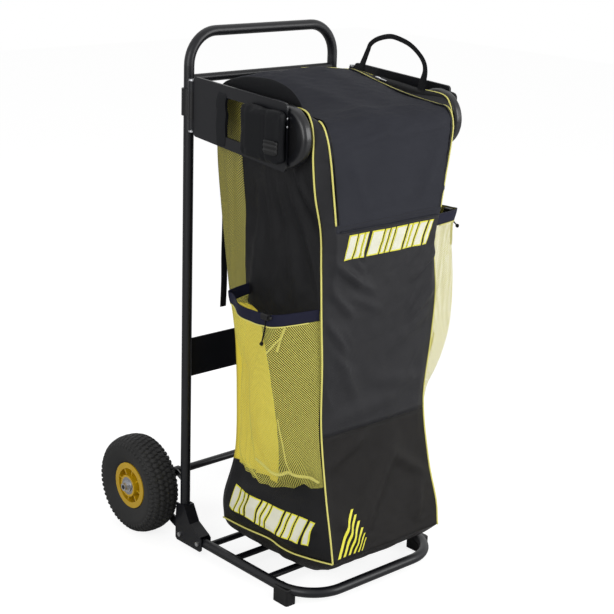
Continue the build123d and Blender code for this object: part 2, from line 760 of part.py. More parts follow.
with BuildPart() as bag_outer:
    add(girth)
    for s in sides.values():
        add(belly_form(s, 0))
    add(depth, mode=Mode.INTERSECT)
with BuildPart() as side_walls:
    add(bag_outer.part)
    add(girth_inside, mode=Mode.SUBTRACT)
    for s in sides.values():
        add(belly_form(s, fabric_t), mode=Mode.SUBTRACT)
with BuildPart() as band:
    add(depth)
    add(depth_inside, mode=Mode.SUBTRACT)
    add(girth_inside, mode=Mode.INTERSECT)


def hood_outline(gap):
    """The hood's opening seen from the front, drawn in by a gap."""
    return Polygon((-hood_half_seam + gap, flap_z + gap), (hood_half_seam - gap, flap_z + gap),
                   (hood_half_top - gap, front_heights[-1][1]), (hood_half_top - gap, bag_ceiling),
                   (gap - hood_half_top, bag_ceiling), (gap - hood_half_top, front_heights[-1][1]),
                   align=None)


def hood_region(gap):
    """The space that the hood takes, from the front to its rear seam."""
    with BuildPart() as made:
        with BuildSketch(Plane(origin=(0, fore(hood_rear + gap), 0), x_dir=(1, 0, 0), z_dir=(0, -1, 0))):
            hood_outline(gap)
        extrude(amount=bag_span - hood_rear)
    return made.part


for side, s in sides.items():
    with BuildPart() as bag_side:
        add(side_walls.part)
        add(block(min(0, s * bag_half_span), max(0, s * bag_half_span), 0, bag_span, 0, bag_ceiling),
            mode=Mode.INTERSECT)
    save(bag_side.part, f"bag_side_{side}")

with BuildPart() as bag_base:
    add(band.part)
    add(block(-bag_half_span, bag_half_span, 0, bag_span, 0, base_seam_z), mode=Mode.INTERSECT)
save(bag_base.part, "bag_base")

with BuildPart() as back_panel:
    add(band.part)
    add(block(-bag_half_span, bag_half_span, 0, pocket_rear, base_seam_z, back_seam_z), mode=Mode.INTERSECT)
save(back_panel.part, "back_panel")

with BuildPart() as front_panel:
    add(band.part)
    add(bag_base.part, mode=Mode.SUBTRACT)
    add(back_panel.part, mode=Mode.SUBTRACT)
    add(hood_region(0), mode=Mode.SUBTRACT)
save(front_panel.part, "front_panel")

with BuildPart() as hood:
    add(band.part)
    add(hood_region(body_gap), mode=Mode.INTERSECT)
save(hood.part, "hood")

with BuildPart() as base_board:
    with BuildSketch(Plane.XY.offset(bag_base_z + fabric_t)):
        with Locations((0, (fore(board_rear) + fore(board_front)) / 2)):
            RectangleRounded(2 * board_half_x, board_front - board_rear, 20)
    extrude(amount=board_t)
save(base_board.part, "base_board")


# ---- Pockets: a bulging mesh wall on each side of the bag, open at its hem
def pocket_section(sign, z, fullness, inset):
    """A plan section of a pocket, from inside the bag's side out to its bulge."""
    bulge = pocket_bulge * fullness - inset
    front = pocket_front - inset
    rear = pocket_rear + inset
    with BuildSketch(Plane.XY.offset(z)) as made:
        with BuildLine():
            start = (sign * pocket_inner_x, fore(front))
            end = (sign * pocket_inner_x, fore(rear))
            bow = Spline(*[(sign * (pocket_wall_x + share * bulge), fore(front - run * (front - rear)))
                           for run, share in pocket_bow])
            Line(start, bow @ 0)
            Line(bow @ 1, end)
            Line(end, start)
        make_face()
    return made.sketch


def pocket_form(sign, bottom, inset, lift):
    """A pocket's whole bulge, lofted through its sections."""
    with BuildPart() as made:
        for share, fullness in pocket_fullness:
            add(pocket_section(sign, bottom + lift + share * pocket_height, fullness, inset))
        loft(ruled=True)
    return made.part


pocket_face_x = {}
for side, s in sides.items():
    bottom = pocket_top[side] - pocket_height
    with BuildPart() as pocket:
        add(pocket_form(s, bottom, 0, 0))
        add(pocket_form(s, bottom, pocket_wall, pocket_wall), mode=Mode.SUBTRACT)
        add(bag_outer.part, mode=Mode.SUBTRACT)
    save(pocket.part.solids().sort_by(SortBy.VOLUME)[-1], f"pocket_{side}")
    # The cord lock's flat back is tried a little way out, and comes in until it touches the net
    trial_x = pocket_wall_x + pocket_bulge
    flat_low = pocket_top[side] - lock_drop + lock_corner_r
    flat_high = pocket_top[side] - lock_drop + lock_height - lock_corner_r
    for trial in range(3):
        x_low, x_high = sorted((s * trial_x, s * (trial_x + lock_thick)))
        flat_back = block(x_low, x_high, pocket_widest - lock_length / 2 + lock_end_r,
                          pocket_widest + lock_length / 2, flat_low, flat_high)
        trial_x -= flat_back.distance_to(pocket.part)
    pocket_face_x[side] = trial_x


# ---- Cord locks on the hems: a moulded body, a sprung button and the cord's free tail
tail_runs = {
    "left": [(0, 0, 0), (0, 0, -15), (7, -3, -32), (12, -2, -54)],
    "right": [(0, 0, 0), (0, 0, -11), (8, -2, -24), (14, -3, -40)],
}
for side, s in sides.items():
    lock_x = pocket_face_x[side] + body_gap + lock_thick / 2
    lock_z = pocket_top[side] - lock_drop
    lock_y = fore(pocket_widest)
    lock_front = Plane(origin=(s * lock_x, lock_y - lock_length / 2, lock_z + lock_height / 2),
                       x_dir=(1, 0, 0), z_dir=(0, -1, 0))
    with BuildPart() as cord_lock:
        with BuildSketch(lock_front.offset(-lock_length)):
            RectangleRounded(lock_thick, lock_height, lock_corner_r)
        extrude(amount=lock_length)
        fillet(cord_lock.edges().group_by(Axis.Y)[-1], lock_end_r)
        with BuildSketch(lock_front.offset(-lock_button_in - lock_travel - 1)):
            Circle(lock_button_d / 2 + body_gap)
        extrude(amount=lock_button_in + lock_travel + 1, mode=Mode.SUBTRACT)
    save(cord_lock.part, f"cord_lock_{side}")

    with BuildPart() as lock_button:
        with BuildSketch(lock_front.offset(-lock_button_in)):
            Circle(lock_button_d / 2)
        extrude(amount=lock_button_in + lock_button_out)
        fillet(lock_button.edges().group_by(Axis.Y)[0], 1.5)
    save(lock_button.part, f"lock_button_{side}")

    tail_points = [(s * (lock_x + x), lock_y + y, lock_z + z) for x, y, z in tail_runs[side]]
    runs = [Vector(*b) - Vector(*a) for a, b in zip(tail_points, tail_points[1:])]
    radii = [0.45 * min(a.length, b.length) / tan(radians(a.get_angle(b) / 2))
             for a, b in zip(runs, runs[1:])]
    print("cord tail", side, "bend radii", [round(r, 1) for r in radii])
    with BuildPart() as drawcord_tail:
        with BuildLine() as tail_path:
            FilletPolyline(*tail_points, radius=radii)
        with BuildSketch(Plane(origin=tail_points[0], z_dir=runs[0])):
            Circle(cord_d / 2)
        sweep(path=tail_path.line)
        with Locations(tail_points[-1]):
            Sphere(knot_r)
    save(drawcord_tail.part, f"drawcord_tail_{side}")


# ---- Webbing: the loop handle on the right shoulder and the padded one on the left
def strap_sketch(points, width, corner):
    """A band of webbing seen from the side, of even width along its path."""
    with BuildSketch(Plane.XY) as made:
        with BuildLine() as path:
            FilletPolyline(*[(fore(reach), z) for reach, z in points], radius=corner)
        trace(path.line, line_width=width)
    return made.sketch


# Each strap lies flat against the side at its lower, wider end
loop_points = [(148, 1168), (150, 1240), (196, 1290), (262, 1299), (318, 1275), (345, 1222), (344, 1152)]
loop_face_x = side_half_width(min(z for reach, z in loop_points)) + body_gap
with BuildPart() as handle_loop:
    with BuildSketch(side_plane(loop_face_x)):
        add(strap_sketch(loop_points, loop_strap_width, 20))
    extrude(amount=strap_t)
save(handle_loop.part, "handle_loop")

carry_points = [(112, 1160), (118, 1196), (158, 1216), (215, 1219), (272, 1210), (312, 1188), (316, 1146)]
carry_face_x = side_half_width(min(z for reach, z in carry_points)) + body_gap
with BuildPart() as carry_handle:
    with BuildSketch(side_plane(-carry_face_x)):
        add(strap_sketch(carry_points, carry_strap_width, carry_strap_width / 2 + 1))
    extrude(amount=-strap_t)
    with BuildSketch(side_plane(-carry_face_x)):
        add(strap_sketch(carry_points[1:-1], carry_pad_width, carry_pad_width / 2 + 3))
    extrude(amount=-carry_pad_t)
save(carry_handle.part, "carry_handle")

with BuildPart() as strap_tail:
    add(block(-tail_x - tail_width / 2, -tail_x + tail_width / 2, rear_heights[1][0] - body_gap - tail_t,
              rear_heights[1][0] - body_gap, tail_bottom, tail_top))
save(strap_tail.part, "strap_tail")

# ---- Zip slider: it rides on the hood's right seam, along the sloping top
slider_y = fore(slider_reach)
slider_z = rear_heights[0][1] - top_slope * (slider_reach - rear_heights[0][0])
slope_dir = (0, -1, -top_slope)
slider_x = hood_half_top + slider_width / 2 + 2 * body_gap
seat = Plane(origin=(slider_x, slider_y, slider_z), x_dir=slope_dir, z_dir=(0, -top_slope, 1))
with BuildPart() as zip_slider:
    with BuildSketch(seat.offset(body_gap)):
        RectangleRounded(slider_length, slider_width, 2)
    extrude(amount=slider_height)
    with BuildSketch(seat.offset(body_gap + slider_height - pull_t - 1)):
        with Locations((slider_length / 2 + pull_length / 2 - 3, 0)):
            RectangleRounded(pull_length, pull_width, 2.5)
            with Locations((pull_length / 2 - 5, 0)):
                Circle(1.6, mode=Mode.SUBTRACT)
    extrude(amount=pull_t)
save(zip_slider.part, "zip_slider")

print("overall height", frame_height + tube_r, "width", 2 * thread_tip,
      "depth", toe_reach + tube_r + axle_back + tyre_r)
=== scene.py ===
import math

import bmesh
import bpy
import numpy as np
from mathutils import Euler, Matrix, Vector


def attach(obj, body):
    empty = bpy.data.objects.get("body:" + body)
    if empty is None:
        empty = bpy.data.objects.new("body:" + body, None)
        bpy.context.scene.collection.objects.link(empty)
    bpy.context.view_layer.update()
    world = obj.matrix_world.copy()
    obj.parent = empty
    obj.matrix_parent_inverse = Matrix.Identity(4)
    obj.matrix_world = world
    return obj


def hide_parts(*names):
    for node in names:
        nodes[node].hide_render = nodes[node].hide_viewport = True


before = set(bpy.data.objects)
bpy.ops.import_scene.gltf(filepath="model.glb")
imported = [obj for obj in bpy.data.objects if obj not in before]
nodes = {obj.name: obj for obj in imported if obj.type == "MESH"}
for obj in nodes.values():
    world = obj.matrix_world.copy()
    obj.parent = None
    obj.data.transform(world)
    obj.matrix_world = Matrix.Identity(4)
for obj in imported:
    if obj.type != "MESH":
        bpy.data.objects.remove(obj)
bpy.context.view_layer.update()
scene = bpy.context.scene
mm = 0.001
uprightY = 101.75  # the uprights' plane, in millimetres behind the middle: reach runs forward from it
sides = {"left": -1, "right": 1}

camera = {
    "place": (-2.34372, -2.63594, 1.70169),
    "turn": (73.101, 0.0, -42.584),
    "roll": 1.954,
    "lens": 85.59,
}
eye = bpy.data.objects.new("viewCamera", bpy.data.cameras.new("viewCamera"))
scene.collection.objects.link(eye)
eye.data.lens = camera["lens"]
eye.data.sensor_width = 36
eye.data.clip_end = 60
aim = Euler([math.radians(a) for a in camera["turn"]]).to_matrix().to_4x4()
eye.matrix_world = (Matrix.Translation(camera["place"]) @ aim
                    @ Matrix.Rotation(math.radians(camera["roll"]), 4, "Z"))
scene.camera = eye
print("camera set")


# sRGB hex to linear red, green, blue, alpha
def hexColour(code):
    s = np.array([int(code[i:i + 2], 16) for i in (1, 3, 5)]) / 255
    linear = np.where(s <= 0.04045, s / 12.92, ((s + 0.055) / 1.055) ** 2.4)
    return (*[float(c) for c in linear], 1.0)


# One node: settings are its own fields or its sockets' values, links feed its sockets
def addNode(tree, kind, settings=None, links=None):
    node = tree.nodes.new(kind)
    for key, value in (settings or {}).items():
        if isinstance(key, int) or key in node.inputs:
            node.inputs[key].default_value = value
        else:
            setattr(node, key, value)
    for key, source in (links or {}).items():
        tree.links.new(source, node.inputs[key])
    return node


# An empty material with its node tree and its shader
def newMaterial(name):
    made = bpy.data.materials.new(name)
    made.use_nodes = True
    return made, made.node_tree, made.node_tree.nodes["Principled BSDF"]


# (X, reach, Z) in millimetres to metres in the part's frame: Y is the uprights' Y less the reach
def place(points):
    p = np.asarray(points, float)
    return np.stack([p[..., 0], uprightY - p[..., 1], p[..., 2]], -1) * mm


# Distance run along a line at each of its points: the sum of the steps before it
def runAlong(points):
    return np.concatenate([[0], np.cumsum(np.linalg.norm(np.diff(points, axis=0), axis=1))])


# Vectors brought to length 1
def unit(vectors):
    return vectors / np.linalg.norm(vectors, axis=1)[:, None]


# A Catmull-Rom curve through the points: a cubic between each two, its slope half the gap across
def smoothLine(points, per):
    p = np.asarray(points, float)
    q = np.vstack([2 * p[0] - p[1], p, 2 * p[-1] - p[-2]])
    t = np.linspace(0, len(p) - 1, (len(p) - 1) * per + 1)
    i = np.minimum(t.astype(int), len(p) - 2)
    f = (t - i)[:, None]
    a, b, c, d = q[i], q[i + 1], q[i + 2], q[i + 3]
    return 0.5 * (2 * b + (c - a) * f + (2 * a - 5 * b + 4 * c - d) * f ** 2
                  + (3 * b - a - 3 * c + d) * f ** 3)


# The same line with its points an even step apart along it
def evenLine(points, step):
    p = np.asarray(points, float)
    run = runAlong(p)
    at = np.linspace(0, run[-1], max(2, int(round(run[-1] / step)) + 1))
    return np.stack([np.interp(at, run, p[:, k]) for k in range(p.shape[1])], 1)


# Heights read off a list of (place, height) pairs, straight between them
def readOff(at, pairs):
    return np.interp(at, *np.array(pairs).T)


# Soft cloth waves: a sum of sines with seeded directions, wavelengths near size, and phases
def ripple(u, v, seed, size, count=10):
    draw = np.random.default_rng(seed)
    total = np.zeros(np.broadcast(u, v).shape)
    for _ in range(count):
        angle, phase = draw.uniform(0, math.pi), draw.uniform(0, 2 * math.pi)
        k = 2 * math.pi / (size * draw.uniform(0.6, 1.8))
        total = total + np.sin(k * (u * math.cos(angle) + v * math.sin(angle)) + phase)
    return total / math.sqrt(count)


# Creases: each row (u, v, angle, half length, width, height) is a ridge, a bell across that fades
# at its ends
def creases(u, v, rows):
    total = np.zeros(np.broadcast(u, v).shape)
    for u0, v0, angle, half, width, height in rows:
        c, s = math.cos(math.radians(angle)), math.sin(math.radians(angle))
        run = (u - u0) * c + (v - v0) * s
        off = (v - v0) * c - (u - u0) * s
        total = total + height * np.exp(-(off / width) ** 2 - (run / half) ** 4)
    return total


# Unit normals of a grid, from the cross product of its two directions
def outward(grid):
    n = np.cross(np.gradient(grid, axis=1), np.gradient(grid, axis=0))
    return n / np.maximum(np.linalg.norm(n, axis=2), 1e-9)[..., None]


# Points on a grid at fractions of a row and a column, each a blend of the four round it
def onGrid(grid, row, col):
    row = np.clip(row, 0, grid.shape[0] - 1.001)
    col = np.clip(col, 0, grid.shape[1] - 1.001)
    i, j = row.astype(int), col.astype(int)
    f, g = (row - i)[..., None], (col - j)[..., None]
    return ((1 - f) * (1 - g) * grid[i, j] + (1 - f) * g * grid[i, j + 1]
            + f * (1 - g) * grid[i + 1, j] + f * g * grid[i + 1, j + 1])


# A flat map of a grid in metres: running lengths along its middle row and middle column
def clothMap(points):
    rows, cols = points.shape[:2]
    return np.stack(np.meshgrid(runAlong(points[rows // 2]), runAlong(points[:, cols // 2])), -1)


# Four corners for each cell of a grid of rows by cols points, closed round on itself where asked
def gridFaces(rows, cols, closeRows=False, closeCols=False, keep=None, flip=False):
    index = np.arange(rows * cols).reshape(rows, cols)
    if closeRows:
        index = np.vstack([index, index[:1]])
    if closeCols:
        index = np.hstack([index, index[:, :1]])
    quads = np.stack([index[:-1, :-1], index[:-1, 1:], index[1:, 1:], index[1:, :-1]], -1)
    quads = quads[keep] if keep is not None else quads.reshape(-1, 4)
    return quads[:, ::-1] if flip else quads


# A mesh object from an array of points and an array of four-sided faces, unused points dropped
def makeMesh(name, points, faces, material, uv=None):
    used, faces = np.unique(faces, return_inverse=True)
    faces = faces.reshape(-1, 4)
    points = np.asarray(points, float).reshape(-1, 3)[used]
    mesh = bpy.data.meshes.new(name)
    mesh.vertices.add(len(points))
    mesh.vertices.foreach_set("co", points.astype(np.float32).ravel())
    mesh.loops.add(faces.size)
    mesh.loops.foreach_set("vertex_index", faces.astype(np.int32).ravel())
    mesh.polygons.add(len(faces))
    mesh.polygons.foreach_set("loop_start", np.arange(0, faces.size, 4, dtype=np.int32))
    mesh.polygons.foreach_set("loop_total", np.full(len(faces), 4, dtype=np.int32))
    mesh.update(calc_edges=True)
    mesh.polygons.foreach_set("use_smooth", np.ones(len(faces), bool))
    if uv is not None:
        layer = mesh.uv_layers.new(name="clothUv")
        flat = np.asarray(uv, float).reshape(-1, 2)[used][faces.ravel()]
        layer.data.foreach_set("uv", flat.astype(np.float32).ravel())
    piece = bpy.data.objects.new(name, mesh)
    scene.collection.objects.link(piece)
    mesh.materials.append(material)
    return piece


# Points that fall together become one, and the normals of the closed shape are turned outward
def mergeClose(piece, distance=1e-6):
    work = bmesh.new()
    work.from_mesh(piece.data)
    bmesh.ops.remove_doubles(work, verts=work.verts, dist=distance)
    bmesh.ops.recalc_face_normals(work, faces=work.faces)
    work.to_mesh(piece.data)
    work.free()


# A finished piece rides a body and may stand for a node
def dress(piece, body, node=None):
    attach(piece, body)
    if node:
        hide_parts(node)
    return piece


# An open sheet over a grid, or over the cells of it that are kept
def gridPiece(name, points, material, body, node=None, keep=None, flip=False):
    faces = gridFaces(*points.shape[:2], keep=keep, flip=flip)
    return dress(makeMesh(name, points, faces, material, clothMap(points)), body, node)


# A sheet gets a wall, inward at offset -1 and to both sides at 0
def thicken(piece, depth, offset=-1.0):
    wall = piece.modifiers.new("wall", "SOLIDIFY")
    wall.thickness = depth
    wall.offset = offset


# A closed tube along a path: at each point an ellipse of two radii, square to the path, its
# first axis along ref cross the path's direction. The ends close on their middle points
def tubePiece(name, path, radii, material, body, node=None, ref=(1, 0, 0), around=8):
    p = np.asarray(path, float)
    ahead = unit(np.gradient(p, axis=0))
    first = unit(np.cross(np.broadcast_to(np.array(ref, float), p.shape), ahead))
    second = np.cross(ahead, first)
    angle = np.linspace(0, 2 * math.pi, around, endpoint=False)
    a, b = [np.broadcast_to(r, len(p))[:, None, None] for r in radii]
    ring = (np.cos(angle)[None, :, None] * first[:, None] * a
            + np.sin(angle)[None, :, None] * second[:, None] * b)
    caps = [np.broadcast_to(end, (1, around, 3)) for end in (p[0], p[-1])]
    grid = np.concatenate([caps[0], p[:, None] + ring, caps[1]])
    run = runAlong(p)
    wide = float(np.max(radii[0]))
    uv = np.stack(np.meshgrid(np.linspace(0, 2 * math.pi * wide, around),
                              np.concatenate([run[:1], run, run[-1:]])), -1)
    piece = makeMesh(name, grid, gridFaces(*grid.shape[:2], closeCols=True), material, uv)
    mergeClose(piece)
    return dress(piece, body, node)


# All of a mesh's points as one array, and back
def readPoints(mesh):
    flat = np.empty(len(mesh.vertices) * 3, np.float32)
    mesh.vertices.foreach_get("co", flat)
    return flat.reshape(-1, 3)


def writePoints(mesh, points):
    mesh.vertices.foreach_set("co", points.astype(np.float32).ravel())
    mesh.update()


# A height in the shader, seen as a bump of a real depth in metres
def bumpMap(tree, shader, height, strength, distance):
    bump = addNode(tree, "ShaderNodeBump", {"Strength": strength, "Distance": distance},
                   {"Height": height})
    tree.links.new(bump.outputs[0], shader.inputs["Normal"])


# A colour made darker or lighter by a factor
def shade(colour, factor):
    return tuple(min(1.0, c * factor) for c in colour[:3]) + (1.0,)


# A colour broken by broad noise between a darker and a lighter shade, with so many patches to a
# metre: gives the colour and the noise
def mottle(tree, where, colour, shades, patches, detail):
    broad = addNode(tree, "ShaderNodeTexNoise", {"Scale": patches, "Detail": detail},
                    {"Vector": where.outputs["Object"]})
    base = hexColour(colour)
    tint = addNode(tree, "ShaderNodeMix",
                   {"data_type": "RGBA", 6: shade(base, shades[0]), 7: shade(base, shades[1])},
                   {0: broad.outputs["Fac"]})
    return tint.outputs[2], broad.outputs["Fac"]


# A hard surface: its colour and gloss broken by faint wear, and a fine grain, in metres, as a bump
def hardFinish(name, colour, rough, metal=0.0, grain=0.0006, bump=0.15, coat=0.0, vary=0.12,
               mirror=0.5):
    made, tree, shader = newMaterial(name)
    where = addNode(tree, "ShaderNodeTexCoord")
    fine = addNode(tree, "ShaderNodeTexNoise", {"Scale": 1 / grain, "Detail": 3.0},
                   {"Vector": where.outputs["Object"]})
    face, broad = mottle(tree, where, colour, (1 - vary, 1 + vary), 14.0, 5.0)
    gloss = addNode(tree, "ShaderNodeMapRange",
                    {"To Min": rough * 0.85, "To Max": min(1, rough * 1.15)}, {"Value": broad})
    tree.links.new(face, shader.inputs["Base Color"])
    tree.links.new(gloss.outputs[0], shader.inputs["Roughness"])
    bumpMap(tree, shader, fine.outputs["Fac"], bump, 0.0003)
    shader.inputs["Metallic"].default_value = metal
    shader.inputs["Coat Weight"].default_value = coat
    shader.inputs["Specular IOR Level"].default_value = mirror
    return made


# Woven cloth: two sets of ridges at right angles on the cloth's own map, one thread apart, in metres.
# Blender's bands repeat every pi / (10 * scale)
def wovenFinish(name, colour, thread, rough, bump=0.5, vary=0.14, mirror=0.14):
    made, tree, shader = newMaterial(name)
    where = addNode(tree, "ShaderNodeTexCoord")
    bands = [addNode(tree, "ShaderNodeTexWave",
                     {"bands_direction": axis, "Scale": math.pi / 10 / thread, "Distortion": 0.3,
                      "Detail": 1.0}, {"Vector": where.outputs["UV"]}) for axis in "XY"]
    weave = addNode(tree, "ShaderNodeMath", {"operation": "ADD"},
                    {0: bands[0].outputs["Fac"], 1: bands[1].outputs["Fac"]})
    face = mottle(tree, where, colour, (1 - vary, 1 + vary), 9.0, 6.0)[0]
    tree.links.new(face, shader.inputs["Base Color"])
    bumpMap(tree, shader, weave.outputs[0], bump, thread * 0.25)
    shader.inputs["Roughness"].default_value = rough
    shader.inputs["Specular IOR Level"].default_value = mirror
    return made


# Knitted net: holes where two crossed sines on the diagonal add up high, see-through or over a
# backing. Cover is the range of that sum in which thread turns to hole
def netFinish(name, colour, hole, backing=None, cover=(-0.45, 0.0), rough=0.6):
    made, tree, shader = newMaterial(name)
    where = addNode(tree, "ShaderNodeTexCoord")
    turn = addNode(tree, "ShaderNodeMapping",
                   {"Rotation": (0, 0, math.radians(45)), "Scale": (1 / hole, 1 / hole, 1)},
                   {"Vector": where.outputs["UV"]})
    parts = addNode(tree, "ShaderNodeSeparateXYZ", {}, {0: turn.outputs[0]})
    waves = []
    for axis in range(2):
        angle = addNode(tree, "ShaderNodeMath", {"operation": "MULTIPLY", 1: 2 * math.pi},
                        {0: parts.outputs[axis]})
        waves.append(addNode(tree, "ShaderNodeMath", {"operation": "SINE"}, {0: angle.outputs[0]}))
    total = addNode(tree, "ShaderNodeMath", {"operation": "ADD"},
                    {0: waves[0].outputs[0], 1: waves[1].outputs[0]})
    thread = addNode(tree, "ShaderNodeMapRange",
                     {"From Min": cover[0], "From Max": cover[1], "To Min": 1.0, "To Max": 0.0},
                     {"Value": total.outputs[0]})
    face = mottle(tree, where, colour, (0.86, 1.0), 12.0, 4.0)[0]
    if backing is None:
        tree.links.new(thread.outputs[0], shader.inputs["Alpha"])
    else:
        face = addNode(tree, "ShaderNodeMix", {"data_type": "RGBA", 6: hexColour(backing)},
                       {0: thread.outputs[0], 7: face}).outputs[2]
    tree.links.new(face, shader.inputs["Base Color"])
    bumpMap(tree, shader, thread.outputs[0], 0.5, 0.0005)
    shader.inputs["Roughness"].default_value = rough
    return made


finishes = {
    # powder coat on steel: even black, soft gloss, faint orange peel
    "powderCoat": hardFinish("powderCoatedSteel", "#0a0b10", 0.42, grain=0.0016, bump=0.12,
                             coat=0.1, mirror=0.3),
    # bright zinc plate: pale grey metal, fine scratches
    "zinc": hardFinish("zincPlatedSteel", "#b9babd", 0.32, metal=1.0, grain=0.0005),
    "bearing": hardFinish("groundBearingSteel", "#a8a8aa", 0.25, metal=1.0),
    # vulcanised rubber: deep matt black with dust in it
    "tyreRubber": hardFinish("vulcanisedRubber", "#0d0d0d", 0.75, grain=0.0009, bump=0.3, vary=0.3),
    "rollerRubber": hardFinish("polishedRubber", "#07080c", 0.36, grain=0.0012, bump=0.08,
                               coat=0.12, mirror=0.4),
    # moulded yellow ABS: saturated, soft gloss
    "yellowAbs": hardFinish("yellowAbs", "#c09a0c", 0.36, grain=0.002, bump=0.08, vary=0.1),
    # moulded nylon fittings: near black, satin
    "blackPlastic": hardFinish("mouldedPolyamide", "#08080a", 0.45, grain=0.0009, mirror=0.3),
    # pressed polyethylene board: dark grey, dull
    "board": hardFinish("polyethyleneBoard", "#242424", 0.6),
    # nickel plate: pale and nearly mirror bright
    "sliderMetal": hardFinish("nickelPlatedZinc", "#c4c4c6", 0.25, metal=1.0),
    # polyurethane-coated nylon: charcoal, weave of 0.5 mm drawn at 1.6 mm so that it shows
    "nylon": wovenFinish("coatedNylonCharcoal", "#222225", 0.0016, 0.42, mirror=0.2),
    "nylonFlap": wovenFinish("coatedNylonGrey", "#34353b", 0.0016, 0.65, mirror=0.04),
    # the sides and back: the same charcoal nylon painted darker than the front, a painted shade for the
    # faces turned from the lamps
    "nylonShadedSide": wovenFinish("coatedNylonPaintedShade", "#121214", 0.0016, 0.42),
    "nylonTub": wovenFinish("coatedNylonBlack", "#161413", 0.0016, 0.45, mirror=0.16),
    # flat woven bands: coarse threads and no gloss
    "webbing": wovenFinish("polypropyleneWebbing", "#131417", 0.0026, 0.55, bump=0.8),
    "binding": wovenFinish("polyesterBinding", "#17182c", 0.0022, 0.6, bump=0.7),
    "padding": wovenFinish("paddedPolyester", "#0c0d10", 0.0014, 0.6),
    # knitted polyester net, holes of 3 mm drawn at 4.2 mm so that they show
    "net": netFinish("knittedNet", "#eee66c", 0.0042, cover=(-0.5, -0.05)),
    "netFold": netFinish("knittedNetFolded", "#ece57e", 0.0042, cover=(-0.1, 0.5)),
    # the gusset's net above the pocket, over a dark olive backing, its threads painted darker than the
    # pocket's net as painted shade
    "netLinedPaintedShade": netFinish("knittedNetLinedPaintedShade", "#bfb54a", 0.0042, backing="#2a2a18"),
    # net over the yellow gusset under the pocket: a real yellow backing, painted brighter to make up for
    # the pocket net's shadow, so partly painted light
    "netDoublePaintedLight": netFinish("knittedNetDoubledPaintedLight", "#fbe650", 0.0042, backing="#dcc636"),
    # vinyl piping cord: pale yellow, smooth
    "piping": hardFinish("vinylPiping", "#dcd574", 0.4, grain=0.001, bump=0.1, vary=0.06),
    "cordBraid": wovenFinish("braidedElastic", "#121214", 0.0012, 0.6, bump=0.8),
    # screen ink: flat and even
    "printYellow": hardFinish("screenInkYellow", "#e8e240", 0.5, vary=0.08),
    "printWhite": hardFinish("screenInkWhite", "#e4e3cf", 0.5, vary=0.05),
    "thread": hardFinish("polyesterThread", "#0c0c0e", 0.55, vary=0.1),
}
print("materials made")

# Drawcord tails, the only free cords: (outward X, reach, Z) runs from each lock, in millimetres
tails = {
    "left": {"start": (-294.76, 372, 718), "runs": [(0, 0, 0), (0, 0, -15), (7, 3, -32), (12, 2, -54)]},
    "right": {"start": (294.76, 372, 883), "runs": [(0, 0, 0), (5, 0, -9), (17, 3, -20), (30, 5, -33)]},
    "radius": 1.75, "knot": 4.5, "knotSwell": 0.12, "knotWaves": (3, 4), "knotGrid": (25, 32),
}


# A round cord on a NURBS line through its route's points
def cordPiece(name, points, radius, material):
    curve = bpy.data.curves.new(name, "CURVE")
    curve.dimensions = "3D"
    line = curve.splines.new("NURBS")
    line.points.add(len(points) - 1)
    for point, p in zip(line.points, points):
        point.co = (*p, 1.0)
    line.order_u = 3
    line.use_endpoint_u = True
    curve.resolution_u = 16
    curve.bevel_depth = radius
    curve.bevel_resolution = 4
    curve.use_fill_caps = True
    piece = bpy.data.objects.new(name, curve)
    scene.collection.objects.link(piece)
    curve.materials.append(material)
    return piece


# A knot: a ball whose radius swells and pinches along a turn round it
def knotPiece(name, centre, radius, material):
    rows, around = tails["knotGrid"]
    u = np.linspace(0, math.pi, rows)[:, None]
    v = np.linspace(0, 2 * math.pi, around, endpoint=False)[None]
    turns, falls = tails["knotWaves"]
    r = radius * (1 + tails["knotSwell"] * np.sin(turns * v + falls * u))
    grid = np.stack([r * np.sin(u) * np.cos(v), r * np.sin(u) * np.sin(v), r * np.cos(u) + 0 * v], -1)
    piece = makeMesh(name, grid + np.array(centre), gridFaces(rows, around, closeCols=True), material,
                     np.stack(np.meshgrid(v[0] * radius, u[:, 0] * radius), -1))
    mergeClose(piece)
    return piece


# A cord's length, measured along the same curve without its thickness
def curveLength(curve):
    bare = curve.copy()
    bare.bevel_depth = 0
    line = bpy.data.objects.new("measure", bare)
    length = float(runAlong(readPoints(bpy.data.meshes.new_from_object(line)))[-1])
    bpy.data.objects.remove(line)
    return length


for side, sign in sides.items():
    start, radius, braid = np.array(tails[side]["start"]), tails["radius"] * mm, finishes["cordBraid"]
    points = [tuple(place(start + (sign * x, r, z))) for x, r, z in tails[side]["runs"]]
    cordLine = dress(cordPiece(f"drawcordTail.{side}", points, radius, braid), "bag",
                     f"drawcord_tail_{side}")
    knot = dress(knotPiece(f"drawcordKnot.{side}", points[-1], tails["knot"] * mm, braid), "bag")
    length = curveLength(cordLine.data)
    print("cord tail", side, round(length * 1000, 1), "mm")
print("cords made")

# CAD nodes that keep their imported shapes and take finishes. A name that ends in _ stands for two
nodeFinish = {
    "powderCoat": ["main_frame", "upper_crossbar", "back_plate", "toe_frame", "toe_rungs",
                   "foot_bracket_", "axle", "axle_spacers", "axle_stay_", "axle_brace_", "arm_frame_"],
    "zinc": ["frame_bolts", "hub_fasteners", "hinge_pins", "roller_pin_"],
    "bearing": ["bearings_"],
    "blackPlastic": ["toe_feet", "hinge_bracket_", "cord_lock_", "lock_button_", "roller_core_",
                     "arm_buckle_"],
    "rollerRubber": ["roller_tread_"],
    "tyreRubber": ["inner_tube_", "valve_", "tyre_"],
    "yellowAbs": ["rim_"],
    "board": ["base_board"],
    "sliderMetal": ["zip_slider"],
    "webbing": ["handle_loop", "strap_tail"],
    "padding": ["arm_pad_", "carry_handle"],
}
for finish, names in nodeFinish.items():
    for name in names:
        for full in [name + side for side in sides] if name.endswith("_") else [name]:
            nodes[full].data.materials.clear()
            nodes[full].data.materials.append(finishes[finish])
print("frame dressed")

